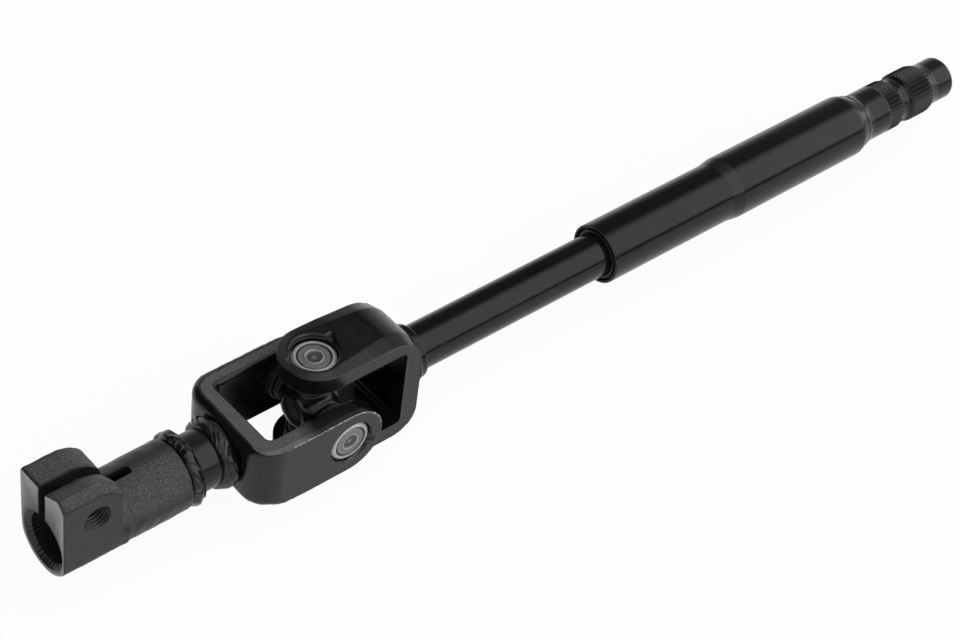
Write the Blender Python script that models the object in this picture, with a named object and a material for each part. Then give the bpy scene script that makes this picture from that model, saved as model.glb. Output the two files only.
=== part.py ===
"""Steering shaft with a universal joint and a telescopic tube.

The shaft lies along X.  The clamp coupler is at the -X end, the splined stub at the +X end,
and the universal joint stands near the coupler.  Every piece is modelled about the joint
centre, and one empty per moving body carries the pieces of that body.
"""

import math

import bmesh
import bpy
from mathutils import Matrix, Vector

MM = 0.001

# Clearances between touching pieces
SEAT_GAP = 0.30 * MM
RUNNING_GAP = 0.30 * MM

# Bearing caps and the trunnions inside them
CAP_DIAMETER = 15.0 * MM
CAP_FACE = 21.3 * MM
CAP_LENGTH = 9.8 * MM
CAP_WALL = 1.2 * MM
CAP_FLOOR = 1.5 * MM
CAP_CORNER = 0.75 * MM
CAP_RING_WIDTH = 1.15 * MM
CAP_GROOVE_DEPTH = 0.45 * MM
CAP_DIMPLE_DIAMETER = 5.7 * MM
CAP_DIMPLE_DEPTH = 0.9 * MM
ROLLER_DIAMETER = 1.4 * MM
ROLLER_COUNT = 18
ROLLER_LENGTH = 6.4 * MM
PAD_THICKNESS = 0.9 * MM
PAD_DIAMETER = 7.6 * MM
SEAL_DIAMETER = 13.6 * MM
SEAL_THICKNESS = 2.2 * MM

# Forged cross
HUB_DIAMETER = 13.0 * MM
HUB_HALF_LENGTH = 7.6 * MM
HUB_RECESS_DIAMETER = 10.6 * MM
HUB_RECESS_DEPTH = 5.2 * MM
ARM_ROOT_DIAMETER = 14.6 * MM
ARM_SHOULDER_DIAMETER = 11.6 * MM

# Lower yoke, a bent strap with its ears on the Y axis
LOWER_BASE = 36.5 * MM
LOWER_BASE_THICKNESS = 7.7 * MM
LOWER_ARM_THICKNESS = 6.4 * MM
LOWER_FAR_ARM_THICKNESS = 7.5 * MM
LOWER_HALF_SPAN = 21.8 * MM
LOWER_FAR_HALF_SPAN = 21.3 * MM
LOWER_HALF_WIDTH = 12.6 * MM
LOWER_EAR_REACH = 12.4 * MM
LOWER_BEND = 9.6 * MM
LOWER_EDGE_ACROSS = 1.3 * MM
LOWER_EDGE_DOWN = 1.0 * MM

# Upper yoke, the same kind of strap with its ears on the Z axis
UPPER_BASE = 37.5 * MM
UPPER_BASE_THICKNESS = 8.4 * MM
UPPER_ARM_THICKNESS = 7.3 * MM
UPPER_HALF_SPAN = 23.4 * MM
UPPER_HALF_WIDTH = 12.5 * MM
UPPER_EAR_REACH = 12.0 * MM
UPPER_BEND = 12.5 * MM
UPPER_TOP_BEND = 15.3 * MM
UPPER_EDGE_ACROSS = 4.6 * MM
UPPER_EDGE_DOWN = 1.3 * MM

# Shared by both yokes
INNER_BEND = 2.4 * MM
BASE_HOLE_DIAMETER = 13.6 * MM
STAKE_COUNT = 4
STAKE_WIDTH = 2.6 * MM
STAKE_DEPTH = 1.3 * MM

# Stub shaft and weld beads between the lower yoke and the coupler
STUB_SHAFT_DIAMETER = 20.0 * MM
STUB_SHAFT_LENGTH = 17.0 * MM
STUB_SPIGOT_LENGTH = 9.0 * MM
LOWER_WELD_DIAMETER = 24.6 * MM
LOWER_WELD_WIDTH = 4.9 * MM
COUPLER_WELD_DIAMETER = 26.1 * MM
COUPLER_WELD_WIDTH = 5.0 * MM

# Clamp coupler
COUPLER_NECK_DIAMETER = 24.2 * MM
COUPLER_LENGTH = 47.9 * MM
CLAMP_LENGTH = 19.6 * MM
NEAR_FLANK = 11.0 * MM
FAR_FLANK = 12.0 * MM
CLAMP_BELLY_DIAMETER = 24.4 * MM
EAR_HEIGHT = 21.7 * MM
NEAR_EAR_CREST = 25.0 * MM
NEAR_EAR_CREST_PLACE = 8.0 * MM
NEAR_EAR_BEVEL = 2.8 * MM
FAR_EAR_ROUND = 2.6 * MM
EAR_BACK_ROUND = 4.6 * MM
EAR_BACK_SLOPE = 3.6 * MM
EAR_FOOT_ROUND = 3.0 * MM
SLIT_WIDTH = 3.5 * MM
SLIT_PLACE = 0.5 * MM
SLIT_LENGTH = 30.8 * MM
SERRATION_COUNT = 36
SERRATION_DIAMETER = 19.0 * MM
SERRATION_DEPTH = 0.75 * MM
BORE_LENGTH = 27.0 * MM
BORE_LEAD = 0.9 * MM
BOLT_PLACE = 12.4 * MM
BOLT_HEIGHT = 12.0 * MM
TAPPED_HOLE_DIAMETER = 8.8 * MM
CLEARANCE_HOLE_DIAMETER = 10.6 * MM

# Sliding inner shaft
SHAFT_DIAMETER = 16.0 * MM
SHAFT_INSERTION = 60.9 * MM
SHAFT_SERRATION_LENGTH = 46.0 * MM
SHAFT_SERRATION_COUNT = 24
SHAFT_SERRATION_DEPTH = 0.45 * MM
COLLAR_DIAMETER = 19.6 * MM
COLLAR_LENGTH = 4.2 * MM
SLEEVE_SETBACK = 6.5 * MM

# Outer tube
TUBE_MOUTH = 125.0 * MM
TUBE_BORE_CLEARANCE = 1.35 * MM
TUBE_STEP_RISE = 0.7 * MM
TUBE_WALL = 1.7 * MM
TUBE_STEP_PLACE = 56.6 * MM
TUBE_STEP_LENGTH = 7.4 * MM
TUBE_LENGTH = 130.3 * MM
TUBE_SHOULDER = 7.6 * MM
TUBE_END_DIAMETER = 20.9 * MM
BUSH_LENGTH = 9.0 * MM
BUSH_WALL = 1.1 * MM
MOUTH_RELIEF = 2.4 * MM
MOUTH_LIP = 0.9 * MM

# Serrated upper stub
STUB_DIAMETER = 19.0 * MM
STUB_LENGTH = 49.2 * MM
STUB_PLUG_LENGTH = 9.0 * MM
STUB_GROOVE_PLACE = 22.1 * MM
STUB_SHORT_BAND = 3.8 * MM
STUB_GROOVE_RADIUS = 4.0 * MM
STUB_GROOVE_DEPTH = 1.7 * MM
STUB_SERRATION_END = 34.6 * MM
STUB_CHAMFER_LENGTH = 5.4 * MM
PILOT_DIAMETER = 16.4 * MM
PILOT_ROUND = 2.4 * MM
END_WELD_WIDTH = 2.2 * MM

# Places along X from the joint centre, worked out from the sizes above
STUB_SHAFT_START = -(LOWER_BASE + SEAT_GAP + STUB_SHAFT_LENGTH)
COUPLER_BACK = STUB_SHAFT_START - SEAT_GAP
COUPLER_FRONT = COUPLER_BACK - COUPLER_LENGTH
BOLT_X = COUPLER_FRONT + BOLT_PLACE
SHAFT_START = UPPER_BASE - UPPER_BASE_THICKNESS + 0.8 * MM
SHAFT_END = TUBE_MOUTH + SHAFT_INSERTION
TUBE_END = TUBE_MOUTH + TUBE_LENGTH
STUB_START = TUBE_END
STUB_END = STUB_START + STUB_LENGTH
CAP_RADIUS = CAP_DIAMETER / 2
EAR_HOLE_RADIUS = CAP_RADIUS + SEAT_GAP
ROLLER_OUTER = CAP_RADIUS - CAP_WALL - RUNNING_GAP
ROLLER_INNER = ROLLER_OUTER - ROLLER_DIAMETER
TRUNNION_RADIUS = ROLLER_INNER - RUNNING_GAP
CAP_INNER_FLOOR = CAP_FACE - CAP_FLOOR
TRUNNION_END = CAP_INNER_FLOOR - PAD_THICKNESS - 2 * RUNNING_GAP
CAP_MOUTH = CAP_FACE - CAP_LENGTH
SEAL_TOP = CAP_MOUTH - RUNNING_GAP
ARM_SHOULDER = SEAL_TOP - SEAL_THICKNESS - RUNNING_GAP
TUBE_BORE_RADIUS = SHAFT_DIAMETER / 2 + TUBE_BORE_CLEARANCE
TUBE_RADIUS = TUBE_BORE_RADIUS + TUBE_WALL

# The joint centre in the part's own frame: the box stands on z = 0, centred on x = 0
JOINT_CENTRE = Vector((-(COUPLER_FRONT + STUB_END) / 2, 0.0, UPPER_HALF_SPAN))

SIDES = 40
TO_X = Matrix.Identity(3)
TO_Y = Matrix(((0, 1, 0), (1, 0, 0), (0, 0, -1)))
TO_MINUS_Y = Matrix(((0, 1, 0), (-1, 0, 0), (0, 0, 1)))
TO_Z = Matrix(((0, 0, 1), (0, 1, 0), (-1, 0, 0))).inverted()
TO_MINUS_Z = Matrix(((0, 0, -1), (0, 1, 0), (1, 0, 0))).inverted()
TRUNNIONS = {"near": TO_MINUS_Y, "far": TO_Y, "top": TO_Z, "bottom": TO_MINUS_Z}


def clear_scene():
    for old in list(bpy.data.objects):
        bpy.data.objects.remove(old, do_unlink=True)


def material(name, colour, roughness, metallic):
    mat = bpy.data.materials.new(name)
    mat.use_nodes = True
    shader = mat.node_tree.nodes["Principled BSDF"]
    shader.inputs["Base Color"].default_value = (*colour, 1.0)
    shader.inputs["Roughness"].default_value = roughness
    shader.inputs["Metallic"].default_value = metallic
    mat.diffuse_color = (*colour, 1.0)
    return mat


def body_frame(name, parent):
    """Empty at the joint centre that carries the pieces of one moving body."""
    frame = bpy.data.objects.new(name, None)
    frame.empty_display_size = 0.02
    bpy.context.scene.collection.objects.link(frame)
    if parent is None:
        frame.location = JOINT_CENTRE
    frame.parent = parent
    return frame


def add_piece(name, bm, mat, frame, smooth_angle=32.0):
    """Write a bmesh to an object on its body's frame, with round surfaces shaded smooth."""
    bmesh.ops.recalc_face_normals(bm, faces=bm.faces)
    mesh = bpy.data.meshes.new(name)
    bm.to_mesh(mesh)
    bm.free()
    mesh.shade_smooth()
    mesh.set_sharp_from_angle(angle=math.radians(smooth_angle))
    piece = bpy.data.objects.new(name, mesh)
    bpy.context.scene.collection.objects.link(piece)
    piece.parent = frame
    if mat is not None:
        mesh.materials.append(mat)
    return piece


def add_cutter(name, bm, frame):
    cutter = add_piece(name, bm, None, frame)
    cutter.hide_render = True
    cutter.display_type = "WIRE"
    return cutter


def boolean(piece, cutter, operation):
    step = piece.modifiers.new(operation.lower() + "_" + cutter.name, "BOOLEAN")
    step.operation = operation
    step.solver = "EXACT"
    step.object = cutter


def ring_of(bm, along, radius_at, sides, turn):
    """Ring of vertices about the first axis; radius_at gives the radius at each corner."""
    ring = []
    for k in range(sides):
        angle = 2 * math.pi * k / sides
        radius = radius_at(k, angle)
        point = Vector((along, radius * math.cos(angle), radius * math.sin(angle)))
        ring.append(bm.verts.new(turn @ point))
    return ring


def plain(radius):
    return lambda k, angle: radius


def toothed(tip, root):
    """Sharp V teeth: every second corner of the ring stands on the root circle."""
    return lambda k, angle: tip if k % 2 == 0 else root


def skin(bm, first, second):
    count = len(first)
    for k in range(count):
        n = (k + 1) % count
        bm.faces.new((first[k], first[n], second[n], second[k]))


def turned(outline, sides=SIDES, turn=TO_X):
    """Closed turned solid.  The outline is a closed loop of (along, radius function) pairs;
    where two neighbours are None the solid is filled to its axis by a flat cap."""
    bm = bmesh.new()
    rings = [None if item is None else ring_of(bm, item[0], item[1], sides, turn) for item in outline]
    count = len(rings)
    for i in range(count):
        here, after = rings[i], rings[(i + 1) % count]
        if here is not None and after is not None:
            skin(bm, here, after)
        elif here is not None:
            bm.faces.new(here)
        elif after is not None:
            bm.faces.new(list(reversed(after)))
    return bm


def solid_bar(outline, sides=SIDES, turn=TO_X):
    """Solid bar from (along, radius) or (along, radius function) stations."""
    stations = [(a, r if callable(r) else plain(r)) for a, r in outline]
    return turned([None] + stations, sides, turn)


def hollow_ring(outline, sides=SIDES, turn=TO_X):
    """Ring from a closed loop of (along, radius) or (along, radius function) stations."""
    return turned([(a, r if callable(r) else plain(r)) for a, r in outline], sides, turn)


def arc(centre, radius, start, end, steps):
    """Points on an arc in a plane, with the angles in degrees."""
    points = []
    for k in range(steps + 1):
        angle = math.radians(start + (end - start) * k / steps)
        points.append((centre[0] + radius * math.cos(angle), centre[1] + radius * math.sin(angle)))
    return points


def prism(points, low, high, place):
    """Flat outline carried between two levels; place turns (u, v, level) into a point."""
    bm = bmesh.new()
    bottom = [bm.verts.new(place(u, v, low)) for u, v in points]
    top = [bm.verts.new(place(u, v, high)) for u, v in points]
    skin(bm, bottom, top)
    bm.faces.new(bottom)
    bm.faces.new(list(reversed(top)))
    return bm


def yoke_path(half_span, base, bend, tip, steps):
    """Half of the U of a strap, from the ear tip to the middle of the base, as (x, out)."""
    corner = (base - bend, half_span - bend)
    half = [(tip, half_span), ((tip + corner[0]) / 2, half_span)]
    half += arc(corner, bend, 90, 0, steps)
    return half


def strap(arms, base, base_thickness, half_width, edge_across, edge_down, reach, ear_axis, side):
    """U strap: a cross-section with its outer edges rolled off, carried along the bent path.
    The first arm stands on the plus side and the second on the minus side, each with its own
    half span, outer bend and thickness."""
    tip = -(reach + 2 * MM)
    steps = 8
    outer, inner, downs = [], [], []
    for sign, (half_span, bend, arm) in zip((1, -1), arms):
        outer_half = [(x, sign * out) for x, out in yoke_path(half_span, base, bend, tip, steps)]
        inner_half = [(x, sign * out) for x, out in yoke_path(half_span - arm, base - base_thickness, INNER_BEND, tip, steps)]
        outer += outer_half if sign > 0 else outer_half[::-1]
        inner += inner_half if sign > 0 else inner_half[::-1]
        downs += [edge_down / arm] * len(outer_half)
    bm = bmesh.new()
    rings = []
    for (xo, oo), (xi, oi), down in zip(outer, inner, downs):
        section = [(-half_width, down), (-half_width + edge_across, 0.0), (half_width - edge_across, 0.0)]
        section += [(half_width, down), (half_width, 1.0), (-half_width, 1.0)]
        ring = []
        for across, depth in section:
            x = side * (xo + (xi - xo) * depth)
            out = oo + (oi - oo) * depth
            point = (x, out, across) if ear_axis == "Y" else (x, across, out)
            ring.append(bm.verts.new(point))
        rings.append(ring)
    for first, second in zip(rings, rings[1:]):
        skin(bm, first, second)
    bm.faces.new(rings[0])
    bm.faces.new(list(reversed(rings[-1])))
    return bm


def ear_trim(half_span, base, half_width, reach, ear_axis, side):
    """Plan outline of a strap: straight flanks that end in round ears about the trunnion."""
    far = base + 5 * MM
    wide = half_width + 1 * MM
    flare = math.degrees(math.acos(min(1.0, (half_width - 0.4 * MM) / (half_width + 0.2 * MM))))
    nose = arc((0.0, 0.0), reach, 90 + flare, 270 - flare, 20)
    outline = [(far, wide), (reach * 0.55, wide)] + nose + [(reach * 0.55, -wide), (far, -wide)]
    high = half_span + 5 * MM

    def place(u, v, level):
        return (side * u, level, v) if ear_axis == "Y" else (side * u, v, level)

    return prism(outline, -high, high, place)


def stakes(arms, ear_axis):
    """Wedge dents that the staking punch leaves round each ear hole."""
    bm = bmesh.new()
    for sign, (half_span, bend, arm) in zip((1, -1), arms):
        for k in range(STAKE_COUNT):
            angle = 2 * math.pi * (k + 0.5) / STAKE_COUNT
            centre = Vector((math.cos(angle), math.sin(angle))) * (EAR_HOLE_RADIUS + STAKE_WIDTH * 0.22)
            low, high = half_span - STAKE_DEPTH, half_span + 1 * MM
            rings = []
            for level, width in ((low, STAKE_WIDTH * 0.30), (high, STAKE_WIDTH * 0.74)):
                ring = []
                for c in range(6):
                    turn = angle + 2 * math.pi * c / 6
                    u = centre.x + width * math.cos(turn)
                    v = centre.y + width * math.sin(turn)
                    out = sign * level
                    ring.append(bm.verts.new((u, out, v) if ear_axis == "Y" else (u, v, out)))
                rings.append(ring)
            skin(bm, rings[0], rings[1])
            bm.faces.new(rings[0])
            bm.faces.new(list(reversed(rings[1])))
    return bm


def make_yoke(name, mat, frame, sizes, ear_axis, side):
    """Strap yoke: bent strap, round ears, cap holes, base hole and stake dents."""
    arms, base, base_thickness, half_width, across, down, reach = sizes
    half_span = max(arm[0] for arm in arms)
    yoke = add_piece(name, strap(*sizes, ear_axis, side), mat, frame, 30.0)
    trim = add_cutter(name + "_plan", ear_trim(half_span, base, half_width, reach, ear_axis, side), frame)
    boolean(yoke, trim, "INTERSECT")
    turn = TO_Y if ear_axis == "Y" else TO_Z
    reach_out = half_span + 3 * MM
    hole = add_cutter(name + "_ear_holes", solid_bar([(-reach_out, EAR_HOLE_RADIUS), (reach_out, EAR_HOLE_RADIUS)], 40, turn), frame)
    boolean(yoke, hole, "DIFFERENCE")
    radius = BASE_HOLE_DIAMETER / 2
    ends = sorted((side * (base + 3 * MM), side * (base - base_thickness - 3 * MM)))
    bore = add_cutter(name + "_base_hole", solid_bar([(ends[0], radius), (ends[1], radius)], 40), frame)
    boolean(yoke, bore, "DIFFERENCE")
    dents = add_cutter(name + "_stakes", stakes(arms, ear_axis), frame)
    boolean(yoke, dents, "DIFFERENCE")
    return yoke


def make_cap(name, mat, frame, turn):
    """Drawn needle cup: rolled outer corner, raised ring, groove, flat and centre dimple."""
    rim = CAP_RADIUS - CAP_CORNER
    groove_out = rim - CAP_RING_WIDTH
    flat_out = groove_out - 0.5 * MM
    dimple = CAP_DIMPLE_DIAMETER / 2
    floor = CAP_FACE - CAP_DIMPLE_DEPTH
    inner = CAP_RADIUS - CAP_WALL
    outline = [None, (floor, plain(dimple * 0.45)), (CAP_FACE - 0.2 * MM, plain(dimple))]
    outline += [(CAP_FACE - 0.2 * MM, plain(flat_out)), (CAP_FACE - CAP_GROOVE_DEPTH, plain(groove_out - 0.15 * MM))]
    outline += [(CAP_FACE, plain(groove_out)), (CAP_FACE, plain(rim))]
    outline += [(CAP_FACE - CAP_CORNER * 0.35, plain(CAP_RADIUS - CAP_CORNER * 0.25))]
    outline += [(CAP_FACE - CAP_CORNER, plain(CAP_RADIUS)), (CAP_MOUTH, plain(CAP_RADIUS))]
    outline += [(CAP_MOUTH, plain(inner)), (CAP_INNER_FLOOR, plain(inner))]
    return add_piece(name, turned(outline, 28, turn), mat, frame)


def make_rollers(name, mat, frame, turn):
    """Full ring of needle rollers, side by side, each bulging out and in between its neighbours."""
    middle = (ROLLER_OUTER + ROLLER_INNER) / 2
    high = CAP_INNER_FLOOR - RUNNING_GAP
    low = high - ROLLER_LENGTH
    waist = ROLLER_DIAMETER * 0.30
    outer = lambda k, angle: ROLLER_OUTER if k % 2 == 0 else middle + waist
    inner = lambda k, angle: ROLLER_INNER if k % 2 == 0 else middle - waist
    bm = hollow_ring([(low, outer), (high, outer), (high, inner), (low, inner)], 2 * ROLLER_COUNT, turn)
    return add_piece(name, bm, mat, frame)


def make_seal(name, mat, frame, turn):
    """Trunnion seal with a shoulder lip towards the cross."""
    inner = ARM_SHOULDER_DIAMETER / 2 - 1.1 * MM
    outer = SEAL_DIAMETER / 2
    low = SEAL_TOP - SEAL_THICKNESS
    outline = [(low, inner), (low, outer - 0.9 * MM), (low + 0.5 * MM, outer - 0.3 * MM)]
    outline += [(SEAL_TOP - 0.5 * MM, outer), (SEAL_TOP, outer - 0.4 * MM), (SEAL_TOP, inner)]
    return add_piece(name, hollow_ring(outline, 24, turn), mat, frame)


def make_pad(name, mat, frame, turn):
    high = CAP_INNER_FLOOR - RUNNING_GAP
    low = high - PAD_THICKNESS
    radius = min(PAD_DIAMETER / 2, ROLLER_INNER - RUNNING_GAP)
    return add_piece(name, solid_bar([(low, radius), (high, radius)], 24, turn), mat, frame)


def make_cross(mat, frame):
    """Forged cross: short hub with a recess in each face, and four trunnions with shoulders."""
    hub = HUB_DIAMETER / 2
    end = HUB_HALF_LENGTH
    cross = add_piece("joint_cross", solid_bar([(-end, hub), (end, hub)], 32), mat, frame, 30.0)
    seal_bore = ARM_SHOULDER_DIAMETER / 2 - 1.1 * MM - RUNNING_GAP
    for side, turn in TRUNNIONS.items():
        arm = [(1.0 * MM, ARM_ROOT_DIAMETER / 2 * 0.9), (ARM_SHOULDER * 0.62, ARM_ROOT_DIAMETER / 2)]
        arm += [(ARM_SHOULDER, ARM_SHOULDER_DIAMETER / 2), (ARM_SHOULDER, seal_bore)]
        arm += [(SEAL_TOP, seal_bore), (SEAL_TOP + 0.3 * MM, TRUNNION_RADIUS)]
        arm += [(TRUNNION_END - 0.6 * MM, TRUNNION_RADIUS), (TRUNNION_END, TRUNNION_RADIUS - 0.6 * MM)]
        limb = add_cutter("cross_arm_" + side, solid_bar(arm, 20, turn), frame)
        boolean(cross, limb, "UNION")
    recess = HUB_RECESS_DIAMETER / 2
    for sign, side in ((-1, "front"), (1, "back")):
        stations = sorted((sign * (end + 2 * MM), sign * (end - HUB_RECESS_DEPTH)))
        cut = solid_bar([(stations[0], recess), (stations[1], recess)], 32)
        boolean(cross, add_cutter("hub_recess_" + side, cut, frame), "DIFFERENCE")
    return cross


def weld_profile(start, end, inner, crown, steps):
    """Half-round bead between two stations, with its crown radius between them."""
    middle, half = (start + end) / 2, (end - start) / 2
    bead = []
    for k in range(steps + 1):
        turn = math.pi * k / steps
        bead.append((middle - half * math.cos(turn), math.sin(turn)))
    return bead, inner, crown


def weld_bead(name, mat, frame, start, end, inner, crown, laps, depth):
    """Weld bead: a half-round ring whose height and width roll with the laps of the weld."""
    bead, low, high = weld_profile(start, end, inner, crown, 6)
    edge = low + 0.45 * MM
    sides = 48

    def height(level):
        def radius(k, angle):
            lap = abs(math.sin(laps * angle / 2 + 0.35 * math.sin(2 * angle)))
            roll = 0.5 * math.sin(3 * angle + 0.8) + 0.5 * math.sin(5 * angle)
            return edge + (high - edge) * level * (1 - depth * (1 - lap) + 0.10 * roll)
        return radius

    outline = [(start, plain(low))] + [(along, height(level)) for along, level in bead] + [(end, plain(low))]
    return add_piece(name, turned(outline, sides), mat, frame, 50.0)


def clamp_section(steps):
    """Cross-section of the clamp in (y, z): two flanks, round belly and two unlike ear tops."""
    radius = CLAMP_BELLY_DIAMETER / 2
    far = math.degrees(math.acos(FAR_FLANK / radius))
    near = math.degrees(math.acos(NEAR_FLANK / radius))
    points = arc((FAR_FLANK - FAR_EAR_ROUND, EAR_HEIGHT - FAR_EAR_ROUND), FAR_EAR_ROUND, 0, 90, 5)
    points += [(SLIT_PLACE, EAR_HEIGHT), (SLIT_PLACE - SLIT_WIDTH / 2, EAR_HEIGHT)]
    points += [(-NEAR_EAR_CREST_PLACE, NEAR_EAR_CREST), (-NEAR_FLANK, NEAR_EAR_CREST - NEAR_EAR_BEVEL)]
    points += arc((0.0, 0.0), radius, 180 + near, 360 - far, steps)
    return points


def clamp_side(front, back):
    """Side view of the clamp in (x, z): straight top, rounded back, slope and hollow foot."""
    top = NEAR_EAR_CREST + 1 * MM
    low = -(CLAMP_BELLY_DIAMETER / 2 + 1 * MM)
    neck = COUPLER_NECK_DIAMETER / 2 - 1.5 * MM
    foot = back + EAR_BACK_SLOPE
    points = [(front, low), (front, top), (back - EAR_BACK_ROUND, top)]
    points += arc((back - EAR_BACK_ROUND, NEAR_EAR_CREST - EAR_BACK_ROUND), EAR_BACK_ROUND, 90, 12, 5)
    points += arc((foot + EAR_FOOT_ROUND, neck + EAR_FOOT_ROUND), EAR_FOOT_ROUND, 192, 270, 4)
    points += [(foot + EAR_FOOT_ROUND, 0.0), (foot + 0.5 * MM, low)]
    return points


def make_coupler(mat, frame):
    """Clamp coupler: slit clamp with two ears on a round neck, bored and serrated."""
    clamp_back = COUPLER_FRONT + CLAMP_LENGTH
    neck = COUPLER_NECK_DIAMETER / 2
    yz = lambda u, v, level: (level, u, v)
    xz = lambda u, v, level: (u, level, v)
    far_end = clamp_back + EAR_BACK_SLOPE + EAR_FOOT_ROUND + 1 * MM
    coupler = add_piece("clamp_coupler", prism(clamp_section(20), COUPLER_FRONT, far_end, yz), mat, frame, 30.0)
    wide = FAR_FLANK + 3 * MM
    side = add_cutter("clamp_side_view", prism(clamp_side(COUPLER_FRONT - 1 * MM, clamp_back), -wide, wide, xz), frame)
    boolean(coupler, side, "INTERSECT")
    round_neck = [(clamp_back - 1.5 * MM, NEAR_FLANK - 0.2 * MM), (clamp_back + 3.0 * MM, neck)]
    round_neck += [(COUPLER_BACK - 1.2 * MM, neck), (COUPLER_BACK, neck - 1.2 * MM)]
    boolean(coupler, add_cutter("coupler_neck", solid_bar(round_neck, 56), frame), "UNION")
    tip = SERRATION_DIAMETER / 2
    bore_end = COUPLER_FRONT + BORE_LENGTH
    teeth = toothed(tip, tip - SERRATION_DEPTH)
    bore = [(COUPLER_FRONT - 2 * MM, plain(tip + BORE_LEAD)), (COUPLER_FRONT, plain(tip + BORE_LEAD * 0.8))]
    bore += [(COUPLER_FRONT + BORE_LEAD, teeth), (bore_end, teeth)]
    bore += [(bore_end + 0.6 * MM, plain(tip + 0.2 * MM)), (COUPLER_BACK + 2 * MM, plain(tip + 0.2 * MM))]
    boolean(coupler, add_cutter("serrated_bore", solid_bar(bore, 2 * SERRATION_COUNT), frame), "DIFFERENCE")
    half = SLIT_WIDTH / 2
    high = NEAR_EAR_CREST + 5 * MM
    slit = [(SLIT_PLACE - half, 0.0), (SLIT_PLACE + half, 0.0), (SLIT_PLACE + half, high), (SLIT_PLACE - half, high)]
    slit_end = COUPLER_FRONT + SLIT_LENGTH
    boolean(coupler, add_cutter("clamp_slit", prism(slit, COUPLER_FRONT - 3 * MM, slit_end, yz), frame), "DIFFERENCE")
    shift = Matrix.Translation((BOLT_X, 0.0, BOLT_HEIGHT))
    for label, turn, radius in (("tapped", TO_MINUS_Y, TAPPED_HOLE_DIAMETER / 2), ("clearance", TO_Y, CLEARANCE_HOLE_DIAMETER / 2)):
        bm = solid_bar([(0.0, radius), (FAR_FLANK + 3 * MM, radius)], 24, turn)
        bmesh.ops.transform(bm, matrix=shift, verts=bm.verts)
        boolean(coupler, add_cutter(label + "_hole", bm, frame), "DIFFERENCE")
    return coupler


def make_stub_shaft(mat, frame):
    """Short bar between coupler and lower yoke, with a spigot into each."""
    radius = STUB_SHAFT_DIAMETER / 2
    coupler_spigot = SERRATION_DIAMETER / 2 + 0.2 * MM - SEAT_GAP
    yoke_spigot = BASE_HOLE_DIAMETER / 2 - SEAT_GAP
    body_end = -(LOWER_BASE + SEAT_GAP)
    outline = [(COUPLER_BACK - STUB_SPIGOT_LENGTH, coupler_spigot - 0.8 * MM)]
    outline += [(COUPLER_BACK - STUB_SPIGOT_LENGTH + 0.8 * MM, coupler_spigot), (STUB_SHAFT_START, coupler_spigot)]
    outline += [(STUB_SHAFT_START, radius), (body_end, radius), (body_end, yoke_spigot)]
    outline += [(-(LOWER_BASE - LOWER_BASE_THICKNESS) - 0.8 * MM, yoke_spigot)]
    return add_piece("stub_shaft", solid_bar(outline), mat, frame)


def make_inner_shaft(mat, frame):
    """Sliding bar: spigot in the upper yoke, long plain run, serrated end inside the tube."""
    radius = SHAFT_DIAMETER / 2
    spigot = BASE_HOLE_DIAMETER / 2 - SEAT_GAP
    shoulder = UPPER_BASE + SEAT_GAP
    start = SHAFT_END - SHAFT_SERRATION_LENGTH
    root = radius - SHAFT_SERRATION_DEPTH
    teeth = toothed(radius, root)
    outline = [(SHAFT_START, spigot - 0.6 * MM), (SHAFT_START + 0.6 * MM, spigot), (shoulder, spigot)]
    outline += [(shoulder, radius), (start - 1.0 * MM, radius), (start, teeth), (SHAFT_END - 1.2 * MM, teeth)]
    outline += [(SHAFT_END, root - 0.6 * MM)]
    return add_piece("inner_shaft", solid_bar(outline, 2 * SHAFT_SERRATION_COUNT), mat, frame)


def make_collar(mat, frame):
    """Smooth collar that seats the inner shaft on the base of the upper yoke."""
    inner = SHAFT_DIAMETER / 2 + SEAT_GAP
    outer = COLLAR_DIAMETER / 2
    start = UPPER_BASE + SEAT_GAP
    end = start + COLLAR_LENGTH
    outline = [(start, inner), (start, outer + 0.6 * MM), (start + 0.9 * MM, outer), (end - 1.1 * MM, outer)]
    outline += [(end - 0.3 * MM, outer - 0.5 * MM), (end, outer - 1.1 * MM), (end, inner)]
    return add_piece("upper_yoke_collar", hollow_ring(outline), mat, frame)


def make_sleeve(mat, frame):
    """Slip sleeve over the serrated end of the inner shaft, running in the tube."""
    inner = SHAFT_DIAMETER / 2 + SEAT_GAP
    outer = TUBE_BORE_RADIUS - RUNNING_GAP
    end = SHAFT_END - 1.4 * MM
    start = TUBE_MOUTH + BUSH_LENGTH + SLEEVE_SETBACK
    outline = [(start, inner), (start, outer - 0.3 * MM), (start + 0.5 * MM, outer), (end - 0.5 * MM, outer)]
    outline += [(end, outer - 0.3 * MM), (end, inner)]
    return add_piece("slip_sleeve", hollow_ring(outline), mat, frame)


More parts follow.
